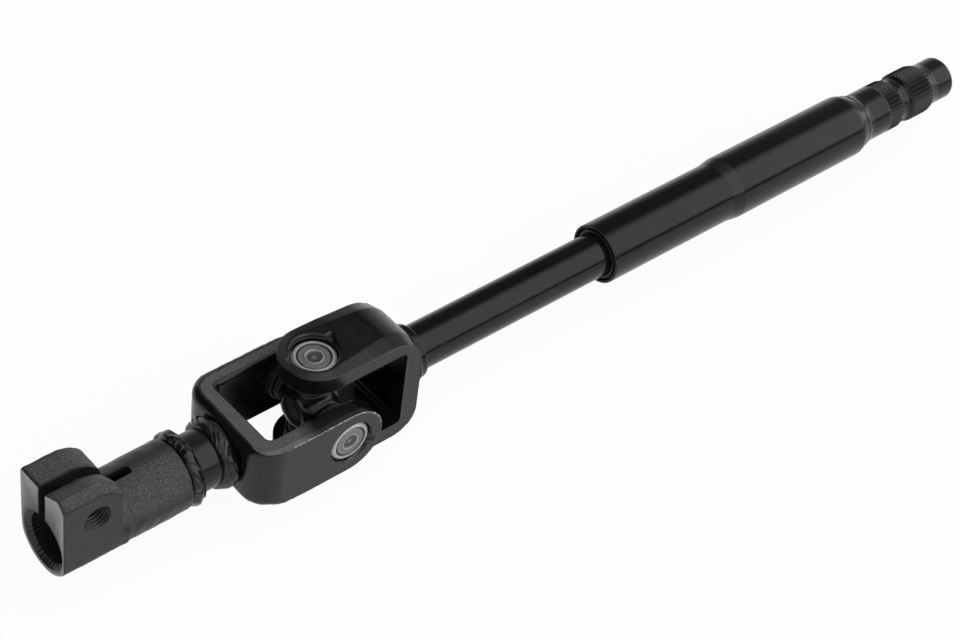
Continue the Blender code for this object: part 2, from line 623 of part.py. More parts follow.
def make_tube(mat, frame):
    """Outer tube: relieved mouth, parallel run, conical step, bigger run, rounded shoulder."""
    small, big, bore = TUBE_RADIUS, TUBE_RADIUS + TUBE_STEP_RISE, TUBE_BORE_RADIUS
    step = TUBE_MOUTH + TUBE_STEP_PLACE
    shoulder = TUBE_END - TUBE_SHOULDER
    closing = TUBE_END_DIAMETER / 2
    mouth = small - MOUTH_LIP
    plug = STUB_DIAMETER / 2 - 1.2 * MM
    outline = [(TUBE_MOUTH, mouth), (TUBE_MOUTH + 0.1 * MM, small - 0.35 * MM), (TUBE_MOUTH + 0.6 * MM, small)]
    outline += [(step, small), (step + TUBE_STEP_LENGTH * 0.25, small + (big - small) * 0.12)]
    outline += [(step + TUBE_STEP_LENGTH * 0.8, big), (step + TUBE_STEP_LENGTH, big + 0.08 * MM)]
    outline += [(step + TUBE_STEP_LENGTH + 3 * MM, big), (shoulder, big)]
    for k in range(1, 5):
        turn = math.pi / 2 * k / 4
        outline.append((shoulder + TUBE_SHOULDER * math.sin(turn), closing + (big - closing) * math.cos(turn)))
    outline += [(TUBE_END, plug + SEAT_GAP), (TUBE_END - STUB_PLUG_LENGTH - 1 * MM, plug + SEAT_GAP)]
    outline += [(TUBE_END - STUB_PLUG_LENGTH - 1 * MM, bore), (TUBE_MOUTH + BUSH_LENGTH, bore)]
    outline += [(TUBE_MOUTH + BUSH_LENGTH, mouth)]
    return add_piece("outer_tube", hollow_ring(outline, 48), mat, frame)


def make_bush(mat, frame):
    """Guide bush in the mouth of the tube; its front stands off the lip in a dark relief."""
    inner = SHAFT_DIAMETER / 2 + RUNNING_GAP
    outer = TUBE_RADIUS - MOUTH_LIP - SEAT_GAP
    neck = inner + BUSH_WALL
    start = TUBE_MOUTH + 0.3 * MM
    end = TUBE_MOUTH + BUSH_LENGTH - SEAT_GAP
    relief = start + MOUTH_RELIEF
    outline = [(start + 0.2 * MM, inner), (start, inner + 0.3 * MM), (start, neck - 0.2 * MM)]
    outline += [(start + 0.3 * MM, neck), (relief, neck), (relief, outer), (end, outer), (end, inner)]
    return add_piece("tube_mouth_bush", hollow_ring(outline), mat, frame)


def make_end_weld(mat, frame):
    """Concave weld ring between the end of the tube and the upper stub."""
    inner = STUB_DIAMETER / 2 + SEAT_GAP
    outer = TUBE_END_DIAMETER / 2
    start = TUBE_END + SEAT_GAP
    rise = outer - inner
    outline = [(start, inner), (start, outer)]
    for k in range(1, 5):
        turn = math.pi / 2 * k / 4
        outline.append((start + END_WELD_WIDTH * (1 - math.cos(turn)), outer - (rise - 0.25 * MM) * math.sin(turn)))
    outline.append((start + END_WELD_WIDTH, inner))
    return add_piece("tube_end_weld", hollow_ring(outline), mat, frame)


def make_upper_stub(mat, frame):
    """Serrated stub: plain seat, round bolt groove, serrations, long chamfer, pilot."""
    tip = STUB_DIAMETER / 2
    root = tip - SERRATION_DEPTH
    pilot = PILOT_DIAMETER / 2
    plug = tip - 1.2 * MM
    teeth = toothed(tip, root)
    groove = STUB_START + STUB_GROOVE_PLACE
    half = math.sqrt(STUB_GROOVE_RADIUS ** 2 - (STUB_GROOVE_RADIUS - STUB_GROOVE_DEPTH) ** 2)
    bottom = tip - STUB_GROOVE_DEPTH
    bands_end = STUB_START + STUB_SERRATION_END
    outline = [(STUB_START - STUB_PLUG_LENGTH, plain(plug - 0.6 * MM)), (STUB_START - STUB_PLUG_LENGTH + 0.6 * MM, plain(plug))]
    outline += [(STUB_START + SEAT_GAP, plain(plug)), (STUB_START + SEAT_GAP, plain(tip))]
    band_end = groove - half * 1.05
    outline += [(band_end - STUB_SHORT_BAND, plain(tip)), (band_end - STUB_SHORT_BAND + 0.6 * MM, teeth), (band_end, teeth)]
    for k in range(6):
        along = -half + 2 * half * k / 6
        drop = math.sqrt(STUB_GROOVE_RADIUS ** 2 - along ** 2) - (STUB_GROOVE_RADIUS - STUB_GROOVE_DEPTH)
        outline.append((groove + along, plain(max(bottom, tip - drop))))
    outline += [(groove + half * 1.05, teeth), (bands_end, teeth), (bands_end + STUB_CHAMFER_LENGTH * 0.4, plain(root))]
    outline += [(bands_end + STUB_CHAMFER_LENGTH, plain(pilot))]
    round_start = STUB_END - PILOT_ROUND
    outline.append((round_start, plain(pilot)))
    for k in range(1, 5):
        turn = math.pi / 2 * k / 4
        outline.append((round_start + PILOT_ROUND * math.sin(turn), plain(pilot - PILOT_ROUND * (1 - math.cos(turn)))))
    return add_piece("upper_stub", solid_bar(outline, 2 * SERRATION_COUNT), mat, frame, 40.0)


def build():
    clear_scene()
    paint = material("black_enamel", (0.018, 0.018, 0.019), 0.33, 0.0)
    cast = material("black_cast_paint", (0.022, 0.022, 0.022), 0.45, 0.0)
    bead = material("painted_weld", (0.020, 0.020, 0.021), 0.40, 0.0)
    steel = material("bright_steel", (0.42, 0.42, 0.41), 0.34, 1.0)
    forged = material("forged_black", (0.030, 0.030, 0.030), 0.50, 0.3)
    rubber = material("seal_rubber", (0.012, 0.012, 0.012), 0.70, 0.0)
    nylon = material("nylon", (0.70, 0.68, 0.62), 0.55, 0.0)
    bush = material("bush_plastic", (0.05, 0.05, 0.05), 0.45, 0.0)

    tube_body = body_frame("column_tube_frame", None)
    shaft_body = body_frame("sliding_shaft_frame", tube_body)
    cross_body = body_frame("joint_cross_frame", shaft_body)
    lower_body = body_frame("lower_end_frame", cross_body)

    make_tube(paint, tube_body)
    make_bush(bush, tube_body)
    make_end_weld(bead, tube_body)
    make_upper_stub(paint, tube_body)

    make_inner_shaft(paint, shaft_body)
    make_sleeve(nylon, shaft_body)
    make_collar(paint, shaft_body)
    arms = [(UPPER_HALF_SPAN, UPPER_TOP_BEND, UPPER_ARM_THICKNESS), (UPPER_HALF_SPAN, UPPER_BEND, UPPER_ARM_THICKNESS)]
    upper = (arms, UPPER_BASE, UPPER_BASE_THICKNESS, UPPER_HALF_WIDTH, UPPER_EDGE_ACROSS, UPPER_EDGE_DOWN, UPPER_EAR_REACH)
    make_yoke("upper_yoke", paint, shaft_body, upper, "Z", 1)

    make_cross(forged, cross_body)

    arms = [(LOWER_FAR_HALF_SPAN, LOWER_BEND, LOWER_FAR_ARM_THICKNESS), (LOWER_HALF_SPAN, LOWER_BEND, LOWER_ARM_THICKNESS)]
    lower = (arms, LOWER_BASE, LOWER_BASE_THICKNESS, LOWER_HALF_WIDTH, LOWER_EDGE_ACROSS, LOWER_EDGE_DOWN, LOWER_EAR_REACH)
    make_yoke("lower_yoke", paint, lower_body, lower, "Y", -1)
    make_stub_shaft(paint, lower_body)
    make_coupler(cast, lower_body)
    stub_surface = STUB_SHAFT_DIAMETER / 2 + SEAT_GAP
    yoke_side = -(LOWER_BASE + SEAT_GAP)
    weld_bead("lower_yoke_weld", bead, lower_body, yoke_side - LOWER_WELD_WIDTH, yoke_side, stub_surface, LOWER_WELD_DIAMETER / 2, 22, 0.20)
    coupler_side = COUPLER_BACK + SEAT_GAP
    weld_bead("coupler_weld", bead, lower_body, coupler_side, coupler_side + COUPLER_WELD_WIDTH, stub_surface, COUPLER_WELD_DIAMETER / 2, 26, 0.16)

    for side, turn in TRUNNIONS.items():
        owner = lower_body if side in ("near", "far") else shaft_body
        make_cap("bearing_cap_" + side, steel, owner, turn)
        make_rollers("needle_rollers_" + side, steel, owner, turn)
        make_seal("trunnion_seal_" + side, rubber, owner, turn)
        make_pad("thrust_pad_" + side, nylon, owner, turn)


build()
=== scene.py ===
"""Looks of the steering shaft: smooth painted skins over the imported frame.

Lengths in this script are in millimetres about the centre of the universal joint, with X along
the shaft.  place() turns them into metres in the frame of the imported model.
"""

import math

import bmesh
import bpy
import numpy as np
from mathutils import Matrix, Vector


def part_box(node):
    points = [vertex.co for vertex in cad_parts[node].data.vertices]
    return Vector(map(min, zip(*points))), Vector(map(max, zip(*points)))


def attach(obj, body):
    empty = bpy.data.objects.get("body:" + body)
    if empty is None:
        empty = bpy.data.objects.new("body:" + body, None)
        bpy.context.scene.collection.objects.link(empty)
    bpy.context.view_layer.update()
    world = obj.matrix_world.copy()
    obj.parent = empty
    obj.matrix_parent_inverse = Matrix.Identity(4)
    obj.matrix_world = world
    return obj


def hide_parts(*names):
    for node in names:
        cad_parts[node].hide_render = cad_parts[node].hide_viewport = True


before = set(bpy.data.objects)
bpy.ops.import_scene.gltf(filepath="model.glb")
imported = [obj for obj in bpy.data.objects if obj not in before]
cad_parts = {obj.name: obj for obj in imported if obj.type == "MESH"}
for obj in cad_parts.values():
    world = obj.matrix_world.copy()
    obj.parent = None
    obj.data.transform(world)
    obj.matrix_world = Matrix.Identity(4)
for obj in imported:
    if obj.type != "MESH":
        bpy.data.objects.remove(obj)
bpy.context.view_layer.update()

MM = 0.001
PI = math.pi

# Places and sizes carried over from the solids, in mm from the joint centre
COUPLER_FRONT = -102.0
COUPLER_BACK = -54.1
LOWER_BASE = -36.5
UPPER_BASE = 37.5
COLLAR_END = 42.0
TUBE_MOUTH = 125.0
TUBE_END = 255.3
STUB_END = 304.5
BOLT_X = -89.6
BOLT_Z = 12.0
BAR_RADIUS = 8.0
CAP_RADIUS = 7.5
CAP_FACE = 21.3
HUB_REACH = 8.0
FAR_FLANK = 12.05
NEAR_FLANK = 11.0
EAR_HOLE = 7.8
LOWER_SPAN = 21.8
UPPER_SPAN = 23.4


def joint_centre():
    """Middle of the cross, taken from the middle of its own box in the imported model."""
    low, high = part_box("joint_cross")
    return (np.array(low) + np.array(high)) / 2


CENTRE = joint_centre()


def place(points):
    return CENTRE + np.asarray(points) * MM


# Turns a shape built along X so that it runs along another axis
ALONG_X = np.eye(3)
ALONG_Y = np.array([[0, 1, 0], [1, 0, 0], [0, 0, -1]], float)
ALONG_NEAR = np.array([[0, 1, 0], [-1, 0, 0], [0, 0, 1]], float)
ALONG_Z = np.array([[0, 0, -1], [0, 1, 0], [1, 0, 0]], float)
ALONG_DOWN = np.array([[0, 0, 1], [0, 1, 0], [-1, 0, 0]], float)
SIDES = {"near": ALONG_NEAR, "far": ALONG_Y, "top": ALONG_Z, "bottom": ALONG_DOWN}


def unit(value):
    return np.clip(value, 0, 1)


def ripple(*coordinates, seed=0, waves=9, scale=1.0):
    """Smooth random field between about -1 and 1: a mean of sine waves whose directions,
    lengths and phases are drawn from the seed."""
    draw = np.random.default_rng(seed)
    total = 0.0
    for _ in range(waves):
        direction = draw.normal(size=len(coordinates))
        direction *= draw.uniform(0.5, 2.0) / np.linalg.norm(direction)
        phase = draw.uniform(0, 2 * PI)
        along = sum(c * d for c, d in zip(coordinates, direction))
        total = total + np.sin(along / scale + phase)
    return total / math.sqrt(waves)


def rounded(corners, steps=6):
    """Polyline through (x, r, fillet) corners: each fillet is an arc tangent to both of its
    sides, so the corner becomes steps + 1 points on that arc."""
    points = [np.array(corners[0][:2], float)]
    for before, here, after in zip(corners, corners[1:], corners[2:]):
        p = np.array(here[:2], float)
        radius = here[2]
        a = np.array(before[:2], float) - p
        b = np.array(after[:2], float) - p
        la, lb = np.linalg.norm(a), np.linalg.norm(b)
        a, b = a / la, b / lb
        half = math.acos(float(np.clip(a @ b, -1, 1))) / 2
        if radius <= 0 or half > PI / 2 - 0.02:
            points.append(p)
            continue
        cut = min(radius / math.tan(half), 0.49 * la, 0.49 * lb)
        radius = cut * math.tan(half)
        bisector = (a + b) / np.linalg.norm(a + b)
        middle = p + bisector * (radius / math.sin(half))
        start = p + a * cut - middle
        end = p + b * cut - middle
        sweep = math.atan2(start[0] * end[1] - start[1] * end[0], start @ end)
        for k in range(steps + 1):
            turn = sweep * k / steps
            c, s = math.cos(turn), math.sin(turn)
            points.append(middle + np.array([c * start[0] - s * start[1], s * start[0] + c * start[1]]))
    points.append(np.array(corners[-1][:2], float))
    return np.array(points)


def spaced(line, longest):
    """The same polyline with extra points, so that no step is longer than the given length."""
    parts = []
    for a, b in zip(line, line[1:]):
        count = max(1, int(math.ceil(np.linalg.norm(b - a) / longest)))
        parts.append(a + (b - a) * np.linspace(0, 1, count, endpoint=False)[:, None])
    return np.vstack(parts + [line[-1:]])


def new_object(name, points, faces, body, material=None, sharp=35.0, marks=None):
    """Mesh object from whole arrays, with doubles merged, faces outwards and round parts smooth."""
    mesh = bpy.data.meshes.new(name)
    mesh.from_pydata(place(points), [], faces)
    for label, values in (marks or {}).items():
        layer = mesh.attributes.new(label, "FLOAT", "POINT")
        layer.data.foreach_set("value", np.asarray(values, np.float32).ravel())
    work = bmesh.new()
    work.from_mesh(mesh)
    bmesh.ops.remove_doubles(work, verts=work.verts, dist=1e-7)
    bmesh.ops.recalc_face_normals(work, faces=work.faces)
    if work.calc_volume(signed=True) < 0:
        bmesh.ops.reverse_faces(work, faces=work.faces)
    work.to_mesh(mesh)
    work.free()
    mesh.shade_smooth()
    mesh.set_sharp_from_angle(angle=math.radians(sharp))
    piece = bpy.data.objects.new(name, mesh)
    bpy.context.scene.collection.objects.link(piece)
    if material is not None:
        mesh.materials.append(material)
    if body is not None:
        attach(piece, body)
    return piece


def grid_faces(rows, columns, wrap_rows=False, wrap_columns=False):
    """Quads of a rows by columns grid of points, joined round where a direction wraps."""
    r = np.arange(rows if wrap_rows else rows - 1)[:, None]
    c = np.arange(columns if wrap_columns else columns - 1)[None, :]
    r2, c2 = (r + 1) % rows, (c + 1) % columns
    quads = np.stack([r * columns + c, r * columns + c2, r2 * columns + c2, r2 * columns + c], -1)
    return quads.reshape(-1, 4).tolist()


def revolve(line, sides, turn=ALONG_X, shift=None, closed=False):
    """Profile carried round an axis: x stays, and the radius turns through a full circle.
    shift(x, angle, r) gives what is added to the radius.  An open profile that starts and ends
    on the axis closes itself; a closed one joins its last point to its first."""
    angle = np.linspace(0, 2 * PI, sides, endpoint=False)[None, :]
    x = line[:, 0][:, None] + 0 * angle
    r = line[:, 1][:, None] + 0 * angle
    if shift is not None:
        r = r + np.where(line[:, 1][:, None] > 0.01, shift(x, angle, r), 0.0)
    points = np.stack([x, r * np.cos(angle), r * np.sin(angle)], -1)
    points = points.reshape(-1, 3) @ turn.T
    return points, grid_faces(len(line), sides, wrap_rows=closed, wrap_columns=True)


def carve(piece, *cutters, operation="DIFFERENCE"):
    """Cuts the cutters out of the piece for good, or joins them to it, and deletes them.  A cut
    face takes the finish of its cutter."""
    for cutter in cutters:
        step = piece.modifiers.new("cut", "BOOLEAN")
        step.operation = operation
        step.solver = "EXACT"
        step.material_mode = "TRANSFER"
        step.object = cutter
    settle(piece)
    for cutter in cutters:
        bpy.data.objects.remove(cutter, do_unlink=True)


def settle(piece, sharp=35.0):
    """Puts the result of the modifiers into the mesh."""
    graph = bpy.context.evaluated_depsgraph_get()
    made = bpy.data.meshes.new_from_object(piece.evaluated_get(graph))
    piece.modifiers.clear()
    piece.data = made
    made.shade_smooth()
    made.set_sharp_from_angle(angle=math.radians(sharp))


# Finishes


def shader(name):
    mat = bpy.data.materials.new(name)
    mat.use_nodes = True
    nodes = mat.node_tree.nodes
    links = mat.node_tree.links
    where = nodes.new("ShaderNodeTexCoord").outputs["Object"]
    return mat, nodes, links, nodes["Principled BSDF"], where


def noise(nodes, links, where, scale, detail=3.0, rough=0.55, stretch=None):
    """Noise of the given scale per metre; stretch lengthens it along the axes."""
    node = nodes.new("ShaderNodeTexNoise")
    node.inputs["Scale"].default_value = scale
    node.inputs["Detail"].default_value = detail
    node.inputs["Roughness"].default_value = rough
    if stretch is not None:
        mapping = nodes.new("ShaderNodeMapping")
        mapping.inputs["Scale"].default_value = stretch
        links.new(where, mapping.inputs["Vector"])
        where = mapping.outputs["Vector"]
    links.new(where, node.inputs["Vector"])
    return node.outputs["Fac"]


def ramp(nodes, links, value, stops):
    """Colour ramp over a value; the colour of a stop is a grey level or a triple."""
    node = nodes.new("ShaderNodeValToRGB")
    elements = node.color_ramp.elements
    places = [position for position, _ in stops]
    colours = [(*(c if isinstance(c, tuple) else (c, c, c)), 1) for _, c in stops]
    for element, end in ((elements[0], 0), (elements[1], -1)):
        element.position = places[end]
        element.color = colours[end]
    for position, colour in zip(places[1:-1], colours[1:-1]):
        elements.new(position).color = colour
    links.new(value, node.inputs["Fac"])
    return node.outputs["Color"]


def bump(nodes, links, height, strength, distance, after=None):
    node = nodes.new("ShaderNodeBump")
    node.inputs["Strength"].default_value = strength
    node.inputs["Distance"].default_value = distance
    links.new(height, node.inputs["Height"])
    if after is not None:
        links.new(after, node.inputs["Normal"])
    return node.outputs["Normal"]


def feed(links, socket, value):
    """Gives an input socket a number, a colour or the output of another node."""
    if isinstance(value, float):
        socket.default_value = value
    elif isinstance(value, tuple):
        socket.default_value = (*value, 1)
    else:
        links.new(value, socket)


def blend_colour(nodes, links, mask, below, above):
    """Colour mix driven by a mask; either side is a socket or a colour."""
    node = nodes.new("ShaderNodeMix")
    node.data_type = "RGBA"
    feed(links, node.inputs["Factor"], mask)
    for label, value in (("A", below), ("B", above)):
        feed(links, [i for i in node.inputs if i.name == label and i.type == "RGBA"][0], value)
    return [o for o in node.outputs if o.type == "RGBA"][0]


def blend_value(nodes, links, mask, below, above):
    """Number mix driven by a mask; either side is a socket or a number."""
    node = nodes.new("ShaderNodeMix")
    node.data_type = "FLOAT"
    links.new(mask, node.inputs[0])
    feed(links, node.inputs[2], below)
    feed(links, node.inputs[3], above)
    return node.outputs[0]


def marked(nodes, label):
    node = nodes.new("ShaderNodeAttribute")
    node.attribute_name = label
    return node.outputs["Fac"]


def arithmetic(nodes, links, operation, a, b):
    """One step of arithmetic on socket a and b, which is a socket or a number."""
    node = nodes.new("ShaderNodeMath")
    node.operation = operation
    links.new(a, node.inputs[0])
    feed(links, node.inputs[1], b)
    return node.outputs[0]


def product(nodes, links, a, b):
    return arithmetic(nodes, links, "MULTIPLY", a, b)


def combined(nodes, links, kind, a, b):
    """Two colour sockets multiplied or added in full."""
    colour = blend_colour(nodes, links, 1.0, a, b)
    colour.node.blend_type = kind
    return colour


def connect(links, body, colour, rough, skin, metallic=0.0):
    """Colour, roughness, normal and metal share of a Principled node."""
    body.inputs["Metallic"].default_value = metallic
    feed(links, body.inputs["Base Color"], colour)
    feed(links, body.inputs["Roughness"], rough)
    feed(links, body.inputs["Normal"], skin)


def paint(name, dark, light, rough_low, rough_high, grain, grain_size, peel=0.12, specular=0.28):
    """Black paint: colour and gloss drift over the surface, with orange peel and the grain of
    the metal under it."""
    mat, nodes, links, body, where = shader(name)
    drift = noise(nodes, links, where, 90.0, 4.0)
    colour = ramp(nodes, links, drift, [(0.3, dark), (0.75, light)])
    patch = noise(nodes, links, where, 260.0, 5.0, 0.6)
    rough = ramp(nodes, links, patch, [(0.3, rough_low), (0.7, rough_high)])
    skin = bump(nodes, links, noise(nodes, links, where, 900.0, 2.0), peel, 0.00008)
    if grain > 0:
        skin = bump(nodes, links, noise(nodes, links, where, grain_size, 5.0, 0.62), grain, 0.0002, skin)
    connect(links, body, colour, rough, skin)
    body.inputs["Specular IOR Level"].default_value = specular
    return mat, nodes, links, body, where, colour, rough, skin


def strap_paint(name):
    """Thin paint on the pressed strap.  The marks on the mesh say where the edge is torn, where
    its rolled strip on the near arm carries a painted highlight and where a burr has lost its paint, painted
    light as a highlight line."""
    mat, nodes, links, body, where, colour, rough, skin = paint(
        name, 0.003, 0.006, 0.18, 0.26, 0.10, 1400.0, 0.14, 0.37)
    sheared, band, bright = marked(nodes, "sheared"), marked(nodes, "band"), marked(nodes, "bright")
    torn = noise(nodes, links, where, 2300.0, 6.0, 0.7)
    torn_colour = ramp(nodes, links, torn, [(0.36, 0.028), (0.5, 0.080), (0.68, 0.17)])
    colour = blend_colour(nodes, links, sheared, colour, torn_colour)
    # Painted highlight: the band mark lightens the rolled outer strip of the near arm, where it catches the
    # light.
    strip_highlight = ramp(nodes, links, noise(nodes, links, where, 500.0, 5.0, 0.6), [(0.3, 0.07), (0.7, 0.13)])
    colour = blend_colour(nodes, links, band, colour, strip_highlight)
    # Light grey where the bright mark is set: bare metal in the stake dents, and on the near arm's burr a
    # painted highlight line as well.
    worn = ramp(nodes, links, noise(nodes, links, where, 1300.0, 3.0, 0.6), [(0.42, 0.06), (0.56, 1.0)])
    worn = product(nodes, links, worn, bright)
    colour = blend_colour(nodes, links, worn, colour, (0.75, 0.75, 0.72))
    rough = blend_value(nodes, links, sheared, rough, 0.62)
    rough = blend_value(nodes, links, band, rough, 0.42)
    pits = bump(nodes, links, product(nodes, links, torn, sheared), 0.8, 0.0004, skin)
    connect(links, body, colour, rough, pits)
    return mat


def forge_finish(name):
    """Painted forging.  The grain mark lightens and roughens the scaled skin of the ears and
    the neck's top; the cut mark is the bare turned front face."""
    mat, nodes, links, body, where, colour, rough, skin = paint(
        name, 0.011, 0.020, 0.30, 0.44, 0.20, 1900.0, 0.12)
    grain, cut = marked(nodes, "grain"), marked(nodes, "cut")
    scale = noise(nodes, links, where, 1500.0, 7.0, 0.72)
    scaled = ramp(nodes, links, scale, [(0.33, 0.018), (0.5, 0.055), (0.66, 0.115)])
    colour = blend_colour(nodes, links, grain, colour, scaled)
    turned = ramp(nodes, links, noise(nodes, links, where, 500.0, 4.0), [(0.3, 0.33), (0.7, 0.40)])
    colour = blend_colour(nodes, links, cut, colour, turned)
    rough = blend_value(nodes, links, grain, rough, 0.55)
    rough = blend_value(nodes, links, cut, rough, 0.5)
    pits = bump(nodes, links, product(nodes, links, scale, grain), 0.9, 0.0005, skin)
    connect(links, body, colour, rough, pits)
    return mat


def cup_finish(name):
    """Drawn cup steel under a thin film of oil: the shade mark is painted light and shade on the face,
    dark in the groove, the dimple and round the side, light on the broad ring and the rim."""
    mat, nodes, links, body, where = shader(name)
    shade = marked(nodes, "shade")
    speck = noise(nodes, links, where, 1100.0, 6.0, 0.65)
    worn = ramp(nodes, links, speck, [(0.25, 0.62), (0.5, 1.0), (0.75, 1.25)])
    colour = combined(nodes, links, "MULTIPLY", shade, worn)
    grime = noise(nodes, links, where, 1500.0, 4.0)
    rough = ramp(nodes, links, grime, [(0.3, 0.36), (0.7, 0.50)])
    skin = bump(nodes, links, noise(nodes, links, where, 4000.0, 3.0), 0.06, 0.00004)
    connect(links, body, colour, rough, skin, 0.45)
    return mat


def ground_steel(name):
    """Bare ground steel with a fine tool grain."""
    mat, nodes, links, body, where = shader(name)
    drift = noise(nodes, links, where, 600.0, 5.0, 0.6)
    colour = ramp(nodes, links, drift, [(0.3, 0.35), (0.7, 0.5)])
    patch = noise(nodes, links, where, 900.0, 4.0)
    rough = ramp(nodes, links, patch, [(0.3, 0.2), (0.7, 0.32)])
    skin = bump(nodes, links, noise(nodes, links, where, 3200.0, 4.0), 0.15, 0.00006)
    connect(links, body, colour, rough, skin, 0.9)
    return mat


def hub_finish(name):
    """Forged steel inside the hub, with painted light by the distance from the middle of the cross: a
    painted highlight on the rim, a painted shade ring behind it, a lighter painted band and painted
    shade on the floor."""
    mat, nodes, links, body, where = shader(name)
    split = nodes.new("ShaderNodeSeparateXYZ")
    links.new(where, split.inputs[0])
    reach = arithmetic(nodes, links, "SUBTRACT", split.outputs["X"], float(CENTRE[0]))
    reach = arithmetic(nodes, links, "ABSOLUTE", reach, 0.0)
    part = product(nodes, links, reach, 1 / (HUB_REACH * MM))
    # Painted light and shade along the bore: bright rim, dark ring, light band and dark floor.
    rings = ramp(nodes, links, part, [
        (0.15, 0.02), (0.33, 0.12), (0.55, 0.40), (0.72, 0.14), (0.84, 0.06), (0.90, 0.4), (0.95, 0.6)])
    patch = noise(nodes, links, where, 900.0, 4.0)
    rough = ramp(nodes, links, patch, [(0.3, 0.25), (0.7, 0.42)])
    skin = bump(nodes, links, noise(nodes, links, where, 1500.0, 4.0), 0.3, 0.0001)
    connect(links, body, rings, rough, skin, 0.7)
    return mat


def seal_rubber(name):
    mat, nodes, links, body, where = shader(name)
    drift = noise(nodes, links, where, 800.0, 4.0)
    colour = ramp(nodes, links, drift, [(0.3, 0.008), (0.7, 0.022)])
    skin = bump(nodes, links, noise(nodes, links, where, 3000.0, 3.0), 0.2, 0.00005)
    connect(links, body, colour, 0.62, skin)
    return mat


gloss_paint = paint("gloss_black_paint", 0.004, 0.007, 0.13, 0.20, 0.0, 1.0, 0.08, 0.32)[0]
press_paint = strap_paint("pressed_strap_paint")
forge_paint = forge_finish("forged_coupler_paint")
recess_paint = paint("coupler_recess_paint", 0.010, 0.018, 0.24, 0.36, 0.15, 1900.0, 0.10, 0.4)[0]
weld_paint = paint("weld_bead_paint", 0.004, 0.008, 0.10, 0.18, 0.30, 1500.0, 0.12, 0.4)[0]
cross_paint = paint("forged_cross_paint", 0.004, 0.010, 0.16, 0.30, 0.60, 800.0, 0.12, 0.4)[0]
bush_paint = paint("mouth_bush_black", 0.010, 0.014, 0.30, 0.40, 0.0, 1.0, 0.08)[0]
cup_steel = cup_finish("drawn_cup_steel")
roller_steel = ground_steel("roller_steel")
hub_metal = hub_finish("hub_recess_metal")
seal_black = seal_rubber("seal_rubber_black")

# The turned pieces: outer tube, stub, bar, collar, bush and weld rings

TUBE_R1 = 11.05
TUBE_R2 = 11.75
STUB_R = 9.5
TEETH = 36


def tube_piece():
    line = rounded([
        (TUBE_MOUTH + 9.0, 9.6, 0), (TUBE_MOUTH + 1.2, 9.9, 0.3), (TUBE_MOUTH, 10.1, 0.35),
        (TUBE_MOUTH, TUBE_R1 - 0.05, 0.8), (TUBE_MOUTH + 57.4, TUBE_R1, 1.6),
        (TUBE_MOUTH + 62.8, TUBE_R2 + 0.05, 1.6), (TUBE_END - 4.6, TUBE_R2, 6.5),
        (TUBE_END - 0.2, 10.2, 1.0), (TUBE_END, 9.0, 0), (TUBE_MOUTH + 9.0, 9.0, 0)], 12)
    shape = revolve(spaced(line, 1.5), 128, closed=True)
    piece = new_object("outer_tube_skin", *shape, "column_tube", gloss_paint)
    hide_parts("outer_tube")


def serration(x, angle, start, end, depth, teeth=TEETH, ramp_length=0.7):
    """Depth of V teeth below their tips: a triangle wave round the axis that fades in and out
    at the two ends of the band."""
    wave = np.abs(((angle * teeth / (2 * PI)) % 1.0) * 2 - 1)
    wave = unit(wave * 1.5 - 0.25)
    band = unit((x - start) / ramp_length) * unit((end - x) / ramp_length)
    return -depth * wave * band


def stub_piece():
    groove = 277.4
    line = rounded([
        (TUBE_END - 2, 0, 0), (TUBE_END - 2, 8.0, 0), (TUBE_END + 0.4, STUB_R, 0),
        (groove - 3.3, STUB_R, 0.5),
        (groove - 2.0, 8.15, 1.6), (groove - 0.6, 7.8, 1.5), (groove + 0.6, 7.8, 1.5),
        (groove + 2.0, 8.15, 1.6), (groove + 3.3, STUB_R, 0.5), (289.9, STUB_R, 0.4),
        (292.6, 8.7, 1.2), (295.2, 8.2, 1.5), (STUB_END, 8.2, 2.2), (STUB_END, 0, 0)], 8)
    line = spaced(line, 0.35)

    def teeth(x, angle, r):
        fore = serration(x, angle, 267.2, groove - 1.9, 0.75)
        aft = serration(x, angle, groove + 1.9, 291.6, 0.75)
        shift = np.minimum(fore, aft)
        skin = 0.012 * ripple(x * 0.4, 3 * np.cos(angle), 3 * np.sin(angle), seed=4)
        return -np.clip(r - (STUB_R + shift), 0, 2) + skin

    shape = revolve(line, TEETH * 8, shift=teeth)
    piece = new_object("upper_stub_skin", *shape, "column_tube", gloss_paint, 40)
    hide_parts("upper_stub")


def end_weld_piece():
    line = rounded([
        (TUBE_END - 0.6, 9.2, 0), (TUBE_END - 0.6, 10.55, 0.4), (TUBE_END + 0.2, 10.2, 0.5),
        (TUBE_END + 1.5, 9.72, 2.8),
        (TUBE_END + 3.1, 9.55, 0.3), (TUBE_END + 3.1, 9.2, 0)], 8)
    lumps = lambda x, angle, r: 0.07 * ripple(x, 9 * np.cos(angle), 9 * np.sin(angle), seed=11)
    shape = revolve(spaced(line, 0.2), 160, shift=lumps, closed=True)
    piece = new_object("tube_end_weld_ring", *shape, "column_tube", gloss_paint)
    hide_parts("tube_end_weld")


def bar_piece():
    line = rounded([
        (30.0, 0, 0), (30.0, 6.3, 0.4), (37.8, 6.3, 0), (37.8, BAR_RADIUS, 0), (139, BAR_RADIUS, 0.3),
        (140, 7.9, 0.2), (184.7, 7.9, 0.6), (185.9, 7.0, 0.3), (185.9, 0, 0)], 4)
    shape = revolve(spaced(line, 2.0), 144)
    piece = new_object("inner_shaft_skin", *shape, "sliding_shaft", gloss_paint)
    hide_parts("inner_shaft")


def collar_piece():
    line = rounded([
        (37.8, 8.1, 0), (37.7, 11.3, 0.2), (38.3, 10.2, 1.0), (39.3, 9.75, 1.2), (41.9, 9.75, 1.5),
        (COLLAR_END, 8.1, 0)], 8)
    shape = revolve(spaced(line, 0.4), 128, closed=True)
    piece = new_object("yoke_collar_skin", *shape, "sliding_shaft", gloss_paint)
    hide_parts("upper_yoke_collar")


